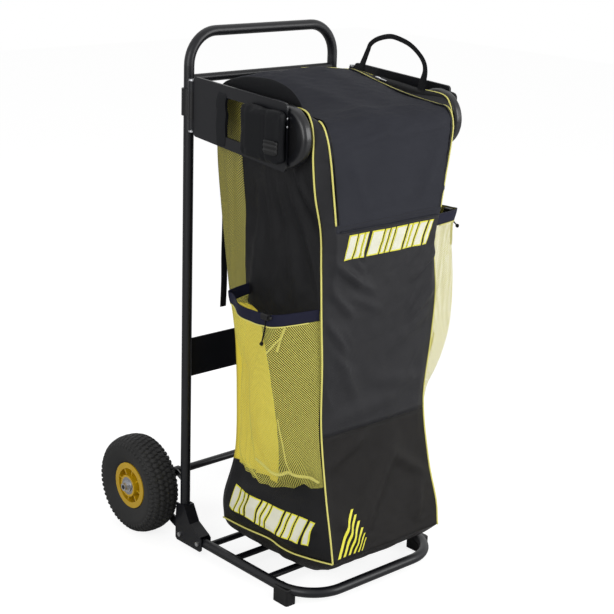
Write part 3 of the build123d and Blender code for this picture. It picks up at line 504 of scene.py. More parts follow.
# Tyres: a rounded section with rows of blocks moulded on its crown
tyre = {
    "radius": 130.0, "width": 85.0, "flange": 61.0, "seat": 51.1, "bead": 28.9, "centreX": 264.0,
    "axleReach": -154.0, "axleZ": 130.0,
    "turn": 2.35, "drawTurn": 0.78,  # how far the section turns each way, and the part that draws in
    "lift": 3.0,  # the widest place, above halfway
    "square": {"width": 0.85, "crown": 0.8, "draw": 0.6},  # powers under 1 square the section
    # blocks: height, distance apart, shift across, and flanks across (mm) and along (share of pitch)
    "block": 3.6, "pitch": 15.0, "skew": 0.012, "flank": (1.4, 0.07),
    # rows of blocks: from and to across the crown, shift and share of the pitch
    "rows": [(-51, -40, 0.5, 0.62), (-37, -24, 0.0, 0.76), (-21, -8, 0.5, 0.78), (-5, 5, 0.0, 0.84),
             (8, 21, 0.5, 0.78), (24, 37, 0.0, 0.76), (40, 51, 0.5, 0.62)],
    "profile": 72, "around": 720,
}


# 1 between low and high, falling to 0 inside each edge
def plateau(x, low, high, edge):
    return np.clip((x - low) / edge, 0, 1) * np.clip((high - x) / edge, 0, 1)


# Section by angle: a squarish ellipse from bead to bead. A block stands where its row's band across
# and its share of the pitch round the tyre are both on, staggered from row to row
def tyrePiece(side, sign):
    t = tyre
    turn = np.linspace(-1, 1, t["profile"]) * t["turn"]
    half, crown = t["width"] / 2, t["radius"] - t["block"]
    mid = (crown + t["flange"]) / 2 + t["lift"]
    below = np.abs(turn) > math.pi / 2
    x = half * np.sign(turn) * np.abs(np.sin(turn)) ** t["square"]["width"]
    drawIn = np.clip((t["turn"] - np.abs(turn)) / t["drawTurn"], 0, 1) ** t["square"]["draw"]
    x = np.where(below, np.sign(turn) * (t["bead"] + (half - t["bead"]) * drawIn), x)
    r = mid + (crown - mid) * np.sign(np.cos(turn)) * np.abs(np.cos(turn)) ** t["square"]["crown"]
    r = np.where(below, np.interp(np.abs(turn), [math.pi / 2, t["turn"]], [mid, t["flange"] + 1]), r)
    angle = np.linspace(0, 2 * math.pi, t["around"], endpoint=False)[None]
    arc = np.concatenate([[0], np.cumsum(np.hypot(np.diff(x), np.diff(r)))])
    arc = arc - arc[-1] / 2
    count = round(2 * math.pi * t["radius"] / t["pitch"])
    across = arc[:, None] + 0 * angle
    lift = np.zeros_like(across)
    for low, top, shift, share in t["rows"]:
        part = (angle * count / (2 * math.pi) + shift + t["skew"] * across) % 1
        lift = np.maximum(lift, plateau(across, low, top, t["flank"][0])
                          * plateau(part, 0.5 - share / 2, 0.5 + share / 2, t["flank"][1]))
    outX, outR = np.gradient(r, arc), -np.gradient(x, arc)
    size = np.hypot(outX, outR) * np.sign(x * outX + (r - mid) * outR)
    outX, outR = outX / size, outR / size
    px = x[:, None] + lift * t["block"] * outX[:, None]
    pr = r[:, None] + lift * t["block"] * outR[:, None]
    seatX = np.array([[t["bead"]], [-t["bead"]]]) + 0 * angle
    px = np.concatenate([px, seatX])
    pr = np.concatenate([pr, t["seat"] + 0 * seatX])
    grid = np.stack([sign * t["centreX"] + px, t["axleReach"] + pr * np.cos(angle),
                     t["axleZ"] + pr * np.sin(angle)], -1)
    faces = gridFaces(*grid.shape[:2], closeRows=True, closeCols=True)
    piece = makeMesh(f"tyre.{side}", place(grid), faces, finishes["tyreRubber"])
    mergeClose(piece)
    dress(piece, f"wheel_{side}", f"tyre_{side}")


for side, sign in sides.items():
    tyrePiece(side, sign)
print("tyres made")

# Bag: one wrap over front, top and back. The middle line's points are (reach, height), those of the
# zip and of the edge (half width, reach, height), from the front's foot over the top and down behind
bag = {
    "centre": [(502, 127), (491, 190), (463, 290), (442, 445), (445, 600), (449, 720), (455, 830),
               (459, 915), (461, 1000), (461, 1080), (457, 1130), (440, 1161), (400, 1173), (330, 1188),
               (260, 1203), (190, 1217), (120, 1228), (93, 1222), (80, 1190), (78, 1050), (80, 900),
               (84, 720), (118, 600), (122, 450), (118, 290), (96, 170), (92, 103)],
    "zip": [(155, 503, 127), (157, 491, 190), (150, 463, 290), (149, 442, 445), (156, 445, 600),
            (160, 448, 720), (160, 453, 830), (167, 457, 915), (179, 457, 1000), (192, 457, 1080),
            (200, 452, 1130), (202, 434, 1162), (200, 400, 1167), (198, 330, 1174), (197, 260, 1184),
            (196, 190, 1198), (194, 120, 1213), (190, 96, 1208), (184, 84, 1180), (176, 80, 1050),
            (160, 80, 900), (160, 84, 720), (150, 120, 600), (146, 124, 450), (146, 120, 290),
            (158, 98, 170), (150, 92, 100)],
    "edge": [(178, 503, 126), (179, 492, 190), (173, 464, 290), (170, 437, 445), (179, 442, 600),
             (186, 441, 720), (182, 430, 830), (184, 426, 915), (208, 430, 1000), (219, 431, 1080),
             (220, 431, 1130), (220, 421, 1168), (219, 398, 1188), (217, 330, 1192), (214, 260, 1200),
             (212, 190, 1205), (209, 128, 1212), (206, 98, 1206), (204, 82, 1176), (205, 79, 1050),
             (193, 84, 900), (188, 110, 720), (178, 124, 600), (172, 128, 450), (172, 126, 290),
             (186, 102, 170), (178, 95, 98)],
    # rows between two guide points, and the guide points where the flap, the shoulder, the roof's
    # folds and the back begin
    "per": 14, "flapFrom": 7, "shoulder": 11, "roofFrom": 11.4, "rearFrom": 17,
    "inner": 61, "outer": 8, "thick": 2.0, "seamZ": 418.0,
    "crown": 2.6, "bow": 2.4,  # the power of the rise to the zip, and the bow outside it
    "hold": 7,  # the cloth lies still along its edges, over one part in this many of its half width
    "rowStep": 7.0,  # a row's length along the cloth, about
    # slow waves: seed, size, height, stretch along and across
    "waves": [(3, 170, 1.5, 1.0, 1.4), (5, 64, 0.45, 1.6, 1.0)],
    # many small creases, drawn at random beside the front's two edges: how many, then least and most
    # of distance in from the edge, height up, angle, half length, width and height
    "small": (34, (8, 95), (470, 860), (24, 66), (16, 46), (3.5, 7.0), (0.8, 2.2)),
    "smallSeed": 61, "smallEdge": 170,
    "smallRight": 0.7,  # the sign of a draw from -1 to this picks the side
    # folds on the front: (X, Z, angle, half length, width, height)
    "folds": [(-118, 812, -38, 48, 9, 3.2), (-84, 790, -32, 60, 10, 3.0), (-128, 740, -42, 44, 9, 3.4),
              (-138, 660, -52, 50, 10, 3.0), (-60, 735, -25, 56, 10, 2.0), (128, 800, 34, 52, 10, 2.6),
              (140, 706, 44, 54, 10, 2.8), (96, 640, 30, 60, 14, 1.8), (-100, 560, -62, 80, 16, 2.2),
              (-30, 470, 6, 110, 20, 2.4), (70, 520, -12, 100, 18, 2.0), (-105, 372, 24, 70, 13, 2.6),
              (-10, 262, 52, 120, 22, 4.2), (104, 300, -34, 66, 14, 2.6), (124, 206, 70, 50, 14, 2.2),
              (-120, 190, -60, 46, 12, 2.2), (-90, 1120, 12, 90, 12, 2.4), (60, 1128, 4, 110, 14, 2.4),
              (130, 1040, 60, 70, 18, 2.0), (-110, 1030, -66, 80, 18, 2.2), (20, 985, 8, 120, 20, 1.6)],
    "foldGain": 2.6,
    # folds on the roof: (X, reach, angle, half length, width, height)
    "roofFolds": [(-60, 300, 80, 120, 26, 2.5), (70, 240, 95, 150, 30, 2.5), (0, 400, 4, 160, 12, 3.0)],
}
centreLine = smoothLine([(0, *p) for p in bag["centre"]], bag["per"])
zipLine = smoothLine(bag["zip"], bag["per"])
edgeLine = smoothLine(bag["edge"], bag["per"])
flapRow, shoulderRow, rearRow = [bag[key] * bag["per"] for key in ("flapFrom", "shoulder", "rearFrom")]


# Across each row: from the middle to the zip line by a power curve, then a shallow bow out to the edge
def wrapSurface():
    a = np.linspace(-1, 1, bag["inner"])[None, :, None]
    c, z = centreLine[:, None], zipLine[:, None]
    inner = c + (z - c) * np.abs(a) ** bag["crown"]
    inner[..., 0] = z[..., 0] * a[..., 0]
    b = np.linspace(0, 1, bag["outer"] + 1)[None, 1:, None]
    right = z + (edgeLine[:, None] - z) * b
    right[..., 0] += 4 * b[..., 0] * (1 - b[..., 0]) * bag["bow"]
    left = right[:, ::-1] * np.array([-1, 1, 1])
    return np.concatenate([left, inner, right], 1)


# Small creases near both edges of the front, mirrored about the middle
def smallCreases():
    draw = np.random.default_rng(bag["smallSeed"])
    count, *spans = bag["small"]
    small = np.stack([draw.uniform(low, high, count) for low, high in spans], 1)
    half = np.sign(draw.uniform(-1, bag["smallRight"], count))
    small[:, 0] = half * (bag["smallEdge"] - small[:, 0])
    small[:, 2] *= half
    return small


wrapBase = wrapSurface()
wrapOut = -outward(wrapBase)
rows, cols = wrapBase.shape[:2]
rowAt, colAt = np.arange(rows)[:, None], np.arange(cols)[None]
along = rowAt * bag["rowStep"] + np.zeros((1, cols))
acrossX, forward, upZ = wrapBase[..., 0], wrapBase[..., 1], wrapBase[..., 2]
wave = sum(ripple(along * u, acrossX * v, seed, size) * high for seed, size, high, u, v in bag["waves"])
isFront = rowAt < bag["roofFrom"] * bag["per"]
frontFolds = creases(acrossX, upZ, bag["folds"]) * bag["foldGain"]
frontFolds = frontFolds + creases(acrossX, upZ, smallCreases())
roofFolds = creases(acrossX, forward, bag["roofFolds"])
hold = np.clip((1 - np.abs(np.linspace(-1, 1, cols))[None]) * bag["hold"], 0, 1)
isRoof = ~isFront & (rowAt < rearRow)
wrap = wrapBase + wrapOut * ((wave + frontFolds * isFront + roofFolds * isRoof) * hold)[..., None]
rowAt, colAt = rowAt[:-1], colAt[:, :-1]
isTop = (rowAt >= flapRow) & (rowAt < rearRow)
isInner = (colAt >= bag["outer"]) & (colAt < bag["outer"] + bag["inner"] - 1)
isLow = (upZ[:-1, :-1] < bag["seamZ"]) & (rowAt < flapRow)
front = (rowAt < rearRow) & ~(isTop & isInner)
wrapPieces = [("bagFrontUpper", "nylon", "bag", front & ~isLow, "front_panel"),
              ("bagFrontLower", "nylonTub", "bag", front & isLow, "front_panel"),
              # the back takes the sides' darker nylon, a painted shade
              ("bagBack", "nylonShadedSide", "bag", (rowAt >= rearRow) & (colAt >= 0), "back_panel"),
              ("flap", "nylonFlap", "hood", isTop & isInner, "hood")]
for name, finish, body, keep, node in wrapPieces:
    slot = "flap_nylon" if body == "hood" else "black_nylon"
    thicken(gridPiece(name, place(wrap), finishes[finish], body, node, keep), bag["thick"] * mm)
print("bag wrap made")

# Bag sides: a patch inside each edge line, bellied low down, with a net gusset at its rear
sidePanel = {
    "cols": 70, "rows": 150, "depth": 340,
    # the gusset's columns, its foot, where its lining ends under the pocket's hem, and its front edge
    # as (Z, reach), which widens behind the pocket and is found in some rounds from a first share
    "gussetCols": 14, "gussetLow": {"left": 270.0, "right": 412.0},
    "hem": {"left": 690.0, "right": 855.0},
    "gusset": {"left": [(285, 306), (420, 284), (520, 264), (650, 236), (686, 228), (694, 183),
                        (1200, 172)],
               "right": [(285, 300), (420, 272), (620, 244), (851, 228), (859, 183), (1200, 172)]},
    "gussetThick": 1.0, "rounds": 8, "firstShare": 0.3, "shares": (0.02, 0.9),
    "belly": [(95, 16), (125, 30), (150, 36), (200, 32), (260, 14), (330, 7), (600, 8), (850, 9),
              (1000, 1), (1080, -6), (1200, -6)],  # (Z, outward)
    "bellyPower": 2.2,
    "rim": [(95, 98), (180, 113), (262, 127), (318, 131), (350, 121), (385, 118), (425, 121),
            (470, 124), (503, 126)],  # the lower seam, as (reach, Z)
    # slow waves: seed, size, height, lean with height and squeeze up
    "waves": [(11, 120, 1.7, 0.5, 0.35), (21, 60, 0.5, 0.0, 1.0)],
    # the cloth lies still along its edges, and within so much of its rim and its top
    "hold": 8, "top": 1165, "calm": 40,
    # folds: (reach, Z, angle, half length, width, height)
    "folds": [(404, 985, -62, 90, 10, 4.0), (380, 925, -70, 120, 13, 3.6), (330, 900, -78, 150, 17, 3.2),
              (270, 960, -84, 120, 16, 3.0), (225, 860, 84, 150, 14, 2.6), (418, 820, -75, 90, 9, 3.2),
              (300, 780, 80, 90, 16, 2.4), (200, 170, 30, 70, 13, 2.6), (330, 165, -24, 80, 15, 3.0),
              (430, 180, 52, 60, 12, 3.0), (280, 230, 8, 110, 14, 2.4), (140, 640, 88, 120, 9, 2.4),
              (120, 900, 90, 160, 8, 2.0), (160, 1000, 84, 120, 10, 2.0)],
}
frontEdge = edgeLine[:shoulderRow + 1]
rearEdge = edgeLine[rearRow:][::-1]
topEdge = edgeLine[shoulderRow:rearRow + 1][::-1]
rimLine = smoothLine(sidePanel["rim"], 8)


# An edge line read at a height: 0 gives its half width, 1 its reach
def edgeAt(line, z, axis):
    return np.interp(z, line[:, 2], line[:, axis])


# Half width: a straight blend of both edges' widths, plus the belly, highest halfway, and the
# cloth's folds, which a sign calls for
def sideX(reach, z, sign=0):
    rear = edgeAt(rearEdge, z, 1)
    s = np.clip((reach - rear) / (edgeAt(frontEdge, z, 1) - rear), 0, 1)
    w = (1 - s) * edgeAt(rearEdge, z, 0) + s * edgeAt(frontEdge, z, 0)
    w = w + readOff(z, sidePanel["belly"]) * (1 - np.abs(2 * s - 1) ** sidePanel["bellyPower"])
    if sign:
        cloth = sum(ripple(reach + lean * z, z * squeeze, seed + sign, size) * high
                    for seed, size, high, lean, squeeze in sidePanel["waves"])
        cloth = cloth + creases(reach, z, sidePanel["folds"]) * bag["foldGain"]
        inside = np.minimum(z - readOff(reach, rimLine), sidePanel["top"] - z) / sidePanel["calm"]
        w = w + (cloth * np.clip(sidePanel["hold"] * np.minimum(s, 1 - s), 0, 1)
                 * np.clip(inside, 0, 1))
    return w


# The lower seam in three dimensions
def rimSeam(more=0.0):
    return np.stack([sideX(rimLine[:, 0], rimLine[:, 1]) + more, rimLine[:, 0], rimLine[:, 1]], -1)


# A Coons patch in reach and height between the rear, front, top and rim lines, at shares s forward
# and t up
def sideFlat(s, t):
    zr = rearEdge[0, 2] + t * (rearEdge[-1, 2] - rearEdge[0, 2])
    zf = frontEdge[0, 2] + t * (frontEdge[-1, 2] - frontEdge[0, 2])
    rear = np.stack([edgeAt(rearEdge, zr, 1), zr], -1)
    fore = np.stack([edgeAt(frontEdge, zf, 1), zf], -1)
    top = np.stack([np.interp(s, np.linspace(0, 1, len(topEdge)), topEdge[:, k]) for k in (1, 2)], -1)
    low = np.stack([np.interp(s, np.linspace(0, 1, len(rimLine)), rimLine[:, k]) for k in (0, 1)], -1)
    s, t = s[..., None], t[..., None]
    corners = ((1 - s) * (1 - t) * rear[:1] + s * (1 - t) * fore[:1] + (1 - s) * t * rear[-1:]
               + s * t * fore[-1:])
    return (1 - s) * rear + s * fore + (1 - t) * low + t * top - corners


# One column follows the net's front edge: its share is found by stepping toward the wanted reach
def sideGrid(side, sign):
    t = np.linspace(0, 1, sidePanel["rows"])[:, None]
    edge = np.full_like(t, sidePanel["firstShare"])
    for _ in range(sidePanel["rounds"]):
        at = sideFlat(edge, t)
        wanted = readOff(at[..., 1], sidePanel["gusset"][side])
        edge = np.clip(edge + (wanted - at[..., 0]) / sidePanel["depth"], *sidePanel["shares"])
    u = np.linspace(0, 1, sidePanel["cols"])[None]
    share = sidePanel["gussetCols"] / (sidePanel["cols"] - 1)
    s = np.where(u < share, edge * u / share, edge + (1 - edge) * (u - share) / (1 - share))
    flat = sideFlat(s, t + 0 * s)
    x = sideX(flat[..., 0], flat[..., 1], sign)
    x[-1] = np.interp(s[-1], np.linspace(0, 1, len(topEdge)), topEdge[:, 0])
    return np.stack([sign * x, flat[..., 0], flat[..., 1]], -1)


for side, sign in sides.items():
    grid = sideGrid(side, sign)
    height = (grid[:-1, :-1, 2] + grid[1:, 1:, 2]) / 2
    inNet = np.arange(sidePanel["cols"] - 1)[None] < sidePanel["gussetCols"]
    isNet = inNet & (height > sidePanel["gussetLow"][side])
    high = height > sidePanel["hem"][side]
    # the side cloth takes the darker nylon, a painted shade
    panels = [("bagSide", "nylonShadedSide", "black_nylon", ~isNet, bag["thick"], f"bag_side_{side}"),
              # above the hem the gusset's net is painted darker, a painted shade
              ("netGusset", "netLinedPaintedShade", "yellow_mesh", isNet & high, sidePanel["gussetThick"], None),
              # below the hem, behind the pocket, the backing is painted brighter to make up for the
              # pocket net's shadow
              ("netLining", "netDoublePaintedLight", "yellow_mesh", isNet & ~high, sidePanel["gussetThick"], None)]
    for name, finish, slot, keep, thick, node in panels:
        cloth = gridPiece(f"{name}.{side}", place(grid), finishes[finish], "bag", node, keep,
                          sign > 0)
        thicken(cloth, thick * mm)
print("bag sides made")

# Tub under the rim: it draws in to the flat base on the rungs
tub = {"base": 44.6, "halfBase": 132.0, "rearBase": 112.0, "frontBase": 392.0, "power": 7.0,
       "rows": 18, "steps": 9, "step": 5.0, "high": 60,
       "bulge": 9, "sag": 5.0, "wrinkle": (41, 80, 2.2)}  # seed, size and height of the wrinkles


# Wall: from the closed rim loop to the base's rounded oblong, matched by angle about the middle,
# with a slight sag halfway, then rings that shrink to the base's middle
def tubPiece():
    rim = rimSeam()
    loop = np.concatenate([rim[:-1], wrapBase[0, ::-1][:-1], (rim * [-1, 1, 1])[::-1][:-1],
                           wrapBase[-1][:-1]])
    loop = evenLine(np.vstack([loop, loop[:1]]), tub["step"])[:-1]
    middle = (tub["rearBase"] + tub["frontBase"]) / 2
    angle = np.arctan2(loop[:, 1] - middle, loop[:, 0])
    a, b, n = tub["halfBase"], (tub["frontBase"] - tub["rearBase"]) / 2, tub["power"]
    r = (np.abs(np.cos(angle) / a) ** n + np.abs(np.sin(angle) / b) ** n) ** (-1 / n)
    base = np.stack([r * np.cos(angle), middle + r * np.sin(angle), np.full(len(r), tub["base"])], -1)
    t = np.linspace(0, 1, tub["rows"])[:, None, None]
    away = np.stack([np.cos(angle), np.sin(angle), 0 * angle], -1)[None]
    seed, size, high = tub["wrinkle"]
    run = np.arange(len(loop))[None] * tub["step"]
    push = tub["bulge"] + high * ripple(run, t[..., 0] * tub["high"], seed, size)
    push = np.sin(math.pi * t[..., 0]) * push
    wall = loop[None] * (1 - t) + base[None] * t + away * push[..., None]
    wall = wall - np.array([0, 0, tub["sag"]]) * np.sin(math.pi * t)
    shrink = np.linspace(1, 0, tub["steps"])[1:, None, None]
    grid = np.concatenate([wall, base.mean(0) + (base[None] - base.mean(0)) * shrink])
    piece = makeMesh("bagBase", place(grid), gridFaces(*grid.shape[:2], closeCols=True),
                     finishes["nylonTub"], clothMap(grid * mm))
    mergeClose(piece)
    thicken(dress(piece, "bag", "bag_base"), bag["thick"] * mm)


tubPiece()
print("tub made")

# Piping sewn in the seams, and the zip's coil beside it
piping = {
    "radius": 2.1, "step": 5.0,
    # guide points where the outer piping and the left zip's piping end, and rows short of the flap's
    # ends
    "outerTo": 13, "leftTo": 12, "zipFrom": 3, "leftShort": 8, "rightShort": 6, "coilShort": 8,
    # how each stands off its line, as (X, reach, Z)
    "outer": (1.5, 0, 0), "zip": (0.6, 1.2, 1.0), "seam": (0, 0.6, 1.6), "rim": 2.2,
    "coil": (2.4, 1.1), "coilAt": (-7.0, 1.6, 2.0),
    # the right piping runs on along the rear seam: columns in from the flap's ends, rows before it
    "seamCols": (36, 3), "seamRow": 2,
}


# A round cord sewn along a line of the bag
def pipeLine(name, points, radius=piping["radius"], ref=(1, 0, 0)):
    line = place(evenLine(points, piping["step"]))
    tubePiece(name, line, (radius * mm, radius * mm), finishes["piping"], "bag", ref=ref)


for side, sign in sides.items():
    mirror = np.array([sign, 1, 1])
    outer = edgeLine[:piping["outerTo"] * bag["per"] + 1] + np.array(piping["outer"])
    pipeLine(f"outerPiping.{side}", outer * mirror)
    zipFrom = flapRow + piping["zipFrom"]
    zipTo = rearRow - piping["rightShort"]
    if side == "left":
        zipTo = piping["leftTo"] * bag["per"] - piping["leftShort"]
    zipPipe = zipLine[zipFrom:zipTo] + np.array(piping["zip"])
    if side == "right":  # round the corner and on along the rear seam
        first = bag["outer"] + piping["seamCols"][0]
        last = bag["outer"] + bag["inner"] - piping["seamCols"][1]
        seam = wrapBase[rearRow - piping["seamRow"], first:last][::-1]
        zipPipe = np.vstack([zipPipe, seam + np.array(piping["seam"])])
    pipeLine(f"zipPiping.{side}", zipPipe * mirror)
    coil = (zipLine[zipFrom:rearRow - piping["coilShort"]] + np.array(piping["coilAt"])) * mirror
    tubePiece(f"zipCoil.{side}", place(evenLine(coil, piping["step"])),
              [radius * mm for radius in piping["coil"]], finishes["blackPlastic"], "bag")
    pipeLine(f"rimPiping.{side}", rimSeam(piping["rim"]) * mirror, ref=(0, 0, 1))
print("piping made")

# Stitches: each a capsule of a few rings, (share of its length, share of its radius)
stitch = {"pitch": 4.2, "length": 2.9, "radius": 0.42, "up": (0, -0.35, 0.94), "around": 6,
          "rings": [(-0.5, 0.02), (-0.3, 1), (0.3, 1), (0.5, 0.02)],
          # two rows on the flap's hem at these heights, and two this far from the low seam; all rise
          # to the right
          "flap": (925, 933), "seam": 4, "rise": 4,
          "across": 90, "inset": 2, "rowsPast": 30, "lift": 0.7,
          "hemZ": 917.5, "hemLift": 1.4, "hem": (2.2, 1.3)}


# Capsules an even pitch apart along a path, their rings square to it
def stitchRow(name, path, body):
    line = place(evenLine(path, stitch["pitch"]))
    ahead = unit(np.gradient(line, axis=0))
    beside = unit(np.cross(ahead, stitch["up"]))
    top = np.cross(beside, ahead)
    ring, size = np.array(stitch["rings"]).T[:, None, :, None, None]
    angle = np.linspace(0, 2 * math.pi, stitch["around"], endpoint=False)[None, None, :, None]
    turned = beside[:, None, None] * np.cos(angle) + top[:, None, None] * np.sin(angle)
    grid = (line[:, None, None] + ahead[:, None, None] * (ring * stitch["length"] * mm)
            + turned * (size * stitch["radius"] * mm))
    one = gridFaces(*grid.shape[1:3], closeCols=True)
    faces = one[None] + np.arange(len(line))[:, None, None] * grid.shape[1] * grid.shape[2]
    piece = makeMesh(name, grid, faces.reshape(-1, 4), finishes["thread"])
    mergeClose(piece, 1e-7)
    dress(piece, body)


frontZ = wrapBase[:flapRow + stitch["rowsPast"], bag["outer"] + bag["inner"] // 2, 2]
innerCols = np.linspace(bag["outer"] + stitch["inset"],
                        bag["outer"] + bag["inner"] - 1 - stitch["inset"], stitch["across"])


# The front's row at a height
def frontRow(z):
    return np.interp(z, frontZ, np.arange(len(frontZ)))


# A line across the front at a height, just proud of the cloth
def acrossFront(z, lift):
    row = frontRow(z) + 0 * innerCols
    return onGrid(wrap, row, innerCols) + onGrid(wrapOut, row, innerCols) * lift


for name, z, body in (("flapStitchLow", stitch["flap"][0], "hood"),
                      ("flapStitchHigh", stitch["flap"][1], "hood"),
                      ("seamStitchLow", bag["seamZ"] - stitch["seam"], "bag"),
                      ("seamStitchHigh", bag["seamZ"] + stitch["seam"], "bag")):
    rise = stitch["rise"] * np.linspace(-1, 1, stitch["across"])
    stitchRow(name, acrossFront(z + rise, stitch["lift"]), body)
hemRoll = place(evenLine(acrossFront(stitch["hemZ"], stitch["hemLift"]), piping["step"]))
tubePiece("flapHem", hemRoll, [radius * mm for radius in stitch["hem"]], finishes["nylonFlap"], "bag",
          ref=(0, 0, 1))
print("stitches made")

# Pockets: net bellies with a bound hem, fuller in front than at the rear. Shares run rearward (s)
# and up (t)
pocket = {
    "wall": 176.0, "bulge": 134.0, "cols": 100, "rows": 120, "inset": 3.0, "proud": 1.2,
    "rear": 150.0, "rearLift": 50.0, "swell": 36.0,  # the rear edge, its shift and bow at the hem
    "corner": (0.87, 0.07, 0.22),  # a fuller rear corner: where, how wide and how much
    # fullness by share up, in front and behind, and how far rearward one turns to the other
    "left": {"top": 738.0, "low": 293.0,
             "front": [(0, 0.04), (0.07, 0.34), (0.2, 0.72), (0.5, 0.98), (0.8, 0.95), (1, 0.84)],
             "back": [(0, 0.3), (0.1, 0.55), (0.22, 0.51), (0.46, 0.57), (0.59, 0.62), (0.68, 0.76),
                      (0.8, 0.92), (0.97, 0.99), (1, 1.0)]},
    "right": {"top": 903.0, "low": 420.0,
              "front": [(0, 0.05), (0.15, 0.7), (0.3, 1.0), (0.46, 1.08), (0.75, 1.0), (0.9, 0.98),
                        (1, 1.08)],
              "back": [(0, 0.1), (0.15, 0.5), (0.3, 0.75), (0.46, 0.85), (0.8, 0.85), (1, 1.0)]},
    "turn": (0.3, 0.35),
    "bow": [(0.0, 0.0), (0.055, 0.42), (0.12, 0.75), (0.21, 0.97), (0.33, 1.0), (0.46, 0.97),
            (0.6, 0.88), (0.78, 0.6), (0.9, 0.35), (1.0, 0.0)],
    # the bottom edge's drop by share rearward
    "scallop": {"left": [(0, 14), (0.05, 6), (0.12, 0), (0.2, 4), (0.32, -20), (0.5, -30),
                         (0.72, -27), (0.9, -19), (1, -19)],
                "right": [(0, 0), (0.2, -6), (0.6, -10), (1, 0)]},
    # gathers at the bottom, at the hem and all over: (waves, wobble, phase, lean, height)
    "gathers": [(46, 2.0, 0, 1.5, 4.4), (30, 0, 1.8, 1.4, 2.0), (21, 0, 2.5, 1.2, 1.6)],
    "wobbleWaves": 9,
    # folds on the net laid flat: (rearward, up, angle, half length, width, height)
    "flat": (300, 445),
    "folds": [(60, 380, 118, 70, 7, 4.0), (95, 300, 100, 90, 9, 3.0), (150, 120, 80, 90, 9, 3.5),
              (110, 60, 60, 60, 8, 4.0)],
    "wave": (31, 90, 1.5, 0.35),  # seed, size, height and squeeze
    "hemSag": (9, 1.35), "hemRise": (13, 0.78, 1.5),  # the hem dips halfway and rises at the rear
    "hem": 26.0, "hemRows": 8, "hemProud": 1.8, "hemRoll": 1.2, "hemThick": 2.4,
    "seam": 1.7, "seamDrop": 1.8, "seamEnds": 4,
    # folds of doubled net: half width, then (share rearward, share up) places along each
    "pleats": {"left": [(4.2, [(0.118, 0.94), (0.121, 0.92), (0.131, 0.874), (0.141, 0.8)]),
                        (2.4, [(0.131, 0.874), (0.152, 0.849), (0.202, 0.79)]),
                        (2.6, [(0.121, 0.42), (0.118, 0.32), (0.121, 0.227), (0.14, 0.1)]),
                        (4.4, [(0.46, 0.17), (0.36, 0.12), (0.26, 0.09), (0.14, 0.09), (0.06, 0.06),
                               (0.02, 0.03)])],
               "right": [(4.0, [(0.2, 0.94), (0.21, 0.88), (0.23, 0.8)]),
                         (2.6, [(0.35, 0.3), (0.33, 0.2), (0.3, 0.1)])]},
    "pleatThick": 0.9, "pleatOut": (1.4, -0.8),
}


# Front to rear by bottom to top: the bag's side plus the bow times the fullness at that height,
# with pleats gathered at the bottom and the hem, and never inside the bag
def pocketGrid(side, sign):
    p = pocket[side]
    s = np.linspace(0, 1, pocket["cols"])[None]
    t = np.linspace(0, 1, pocket["rows"])[:, None]
    z = p["low"] + t * (p["top"] - p["low"]) + 0 * s
    z = z + readOff(s, pocket["scallop"][side]) * (1 - t) ** 3
    front = edgeAt(frontEdge, z, 1) - pocket["inset"]
    rear = pocket["rear"] + pocket["rearLift"] * t ** 3
    reach = front + (rear - front) * s
    reach = reach - pocket["swell"] * np.sin(math.pi * np.clip(2 * s - 1, 0, 1)) * t ** 4
    at, wide, more = pocket["corner"]
    bow = readOff(s, smoothLine(pocket["bow"], 8)) + more * np.exp(-((s - at) / wide) ** 2) * t ** 4
    blend = np.clip((s - pocket["turn"][0]) / pocket["turn"][1], 0, 1)
    blend = blend * blend * (3 - 2 * blend)
    full = (readOff(t, smoothLine(p["front"], 8)) * (1 - blend)
            + readOff(t, smoothLine(p["back"], 8)) * blend)
    wobbly = np.sin(s * pocket["wobbleWaves"])
    pleat = sum(np.sin(s * waves + wobble * wobbly + phase + lean * t) * where * high
                for (waves, wobble, phase, lean, high), where in
                zip(pocket["gathers"], ((1 - t) ** 2.5, t ** 2, 1)))
    pleat = pleat + creases(s * pocket["flat"][0], t * pocket["flat"][1], pocket["folds"])
    seed, size, high, squeeze = pocket["wave"]
    pleat = pleat + ripple(reach, z * squeeze, seed + sign, size) * high
    x = pocket["wall"] + pocket["bulge"] * bow * full + pleat * np.clip(bow * 3, 0, 1)
    dip, run = pocket["hemSag"]
    rise, start, power = pocket["hemRise"]
    sag = (-dip * np.sin(math.pi * np.clip(s * run, 0, 1))
           + rise * np.clip((s - start) / (1 - start), 0, 1) ** power)
    wall = sideX(reach, z, sign) + pocket["proud"]
    return np.stack([sign * np.maximum(x, wall), reach, z + sag * t ** 4], -1)


# The hem's binding follows the net's outline down from its top, proud of it and rounded across
def hemBand(grid, sign):
    count = pocket["hemRows"]
    under, hem = grid[::-1][:count], grid[-1:]
    down = np.linspace(1.0, -pocket["hem"], count)[:, None]
    out = pocket["hemProud"] + pocket["hemRoll"] * np.sin(np.linspace(0, math.pi, count))[:, None]
    return np.stack([under[..., 0] + sign * out, hem[..., 1] + 0 * down, hem[..., 2] + down], -1)


for side, sign in sides.items():
    grid = pocketGrid(side, sign)
    gridPiece(f"pocketNet.{side}", place(grid), finishes["net"], "bag", f"pocket_{side}",
              flip=sign < 0)
    band = hemBand(grid, sign)
    binding = gridPiece(f"hemBinding.{side}", place(band), finishes["binding"], "bag",
                        flip=sign > 0)
    thicken(binding, pocket["hemThick"] * mm, 0.0)
    ends = pocket["seamEnds"]
    tape = band[-1][ends:-ends] - np.array([0, 0, pocket["seamDrop"]])
    pipeLine(f"hemSeam.{side}", tape, pocket["seam"], (0, 0, 1))
    lift = np.array([sign * pocket["pleatOut"][0], pocket["pleatOut"][1], 0])
    for count, (wide, spots) in enumerate(pocket["pleats"][side]):
        share = smoothLine(spots, 12) * [pocket["cols"] - 1, pocket["rows"] - 1]
        line = onGrid(grid, share[:, 1], share[:, 0]) + lift
        tubePiece(f"netPleat.{side}{count + 1}", place(line), (wide * mm, pocket["pleatThick"] * mm),
                  finishes["netFold"], "bag")
print("pockets made")

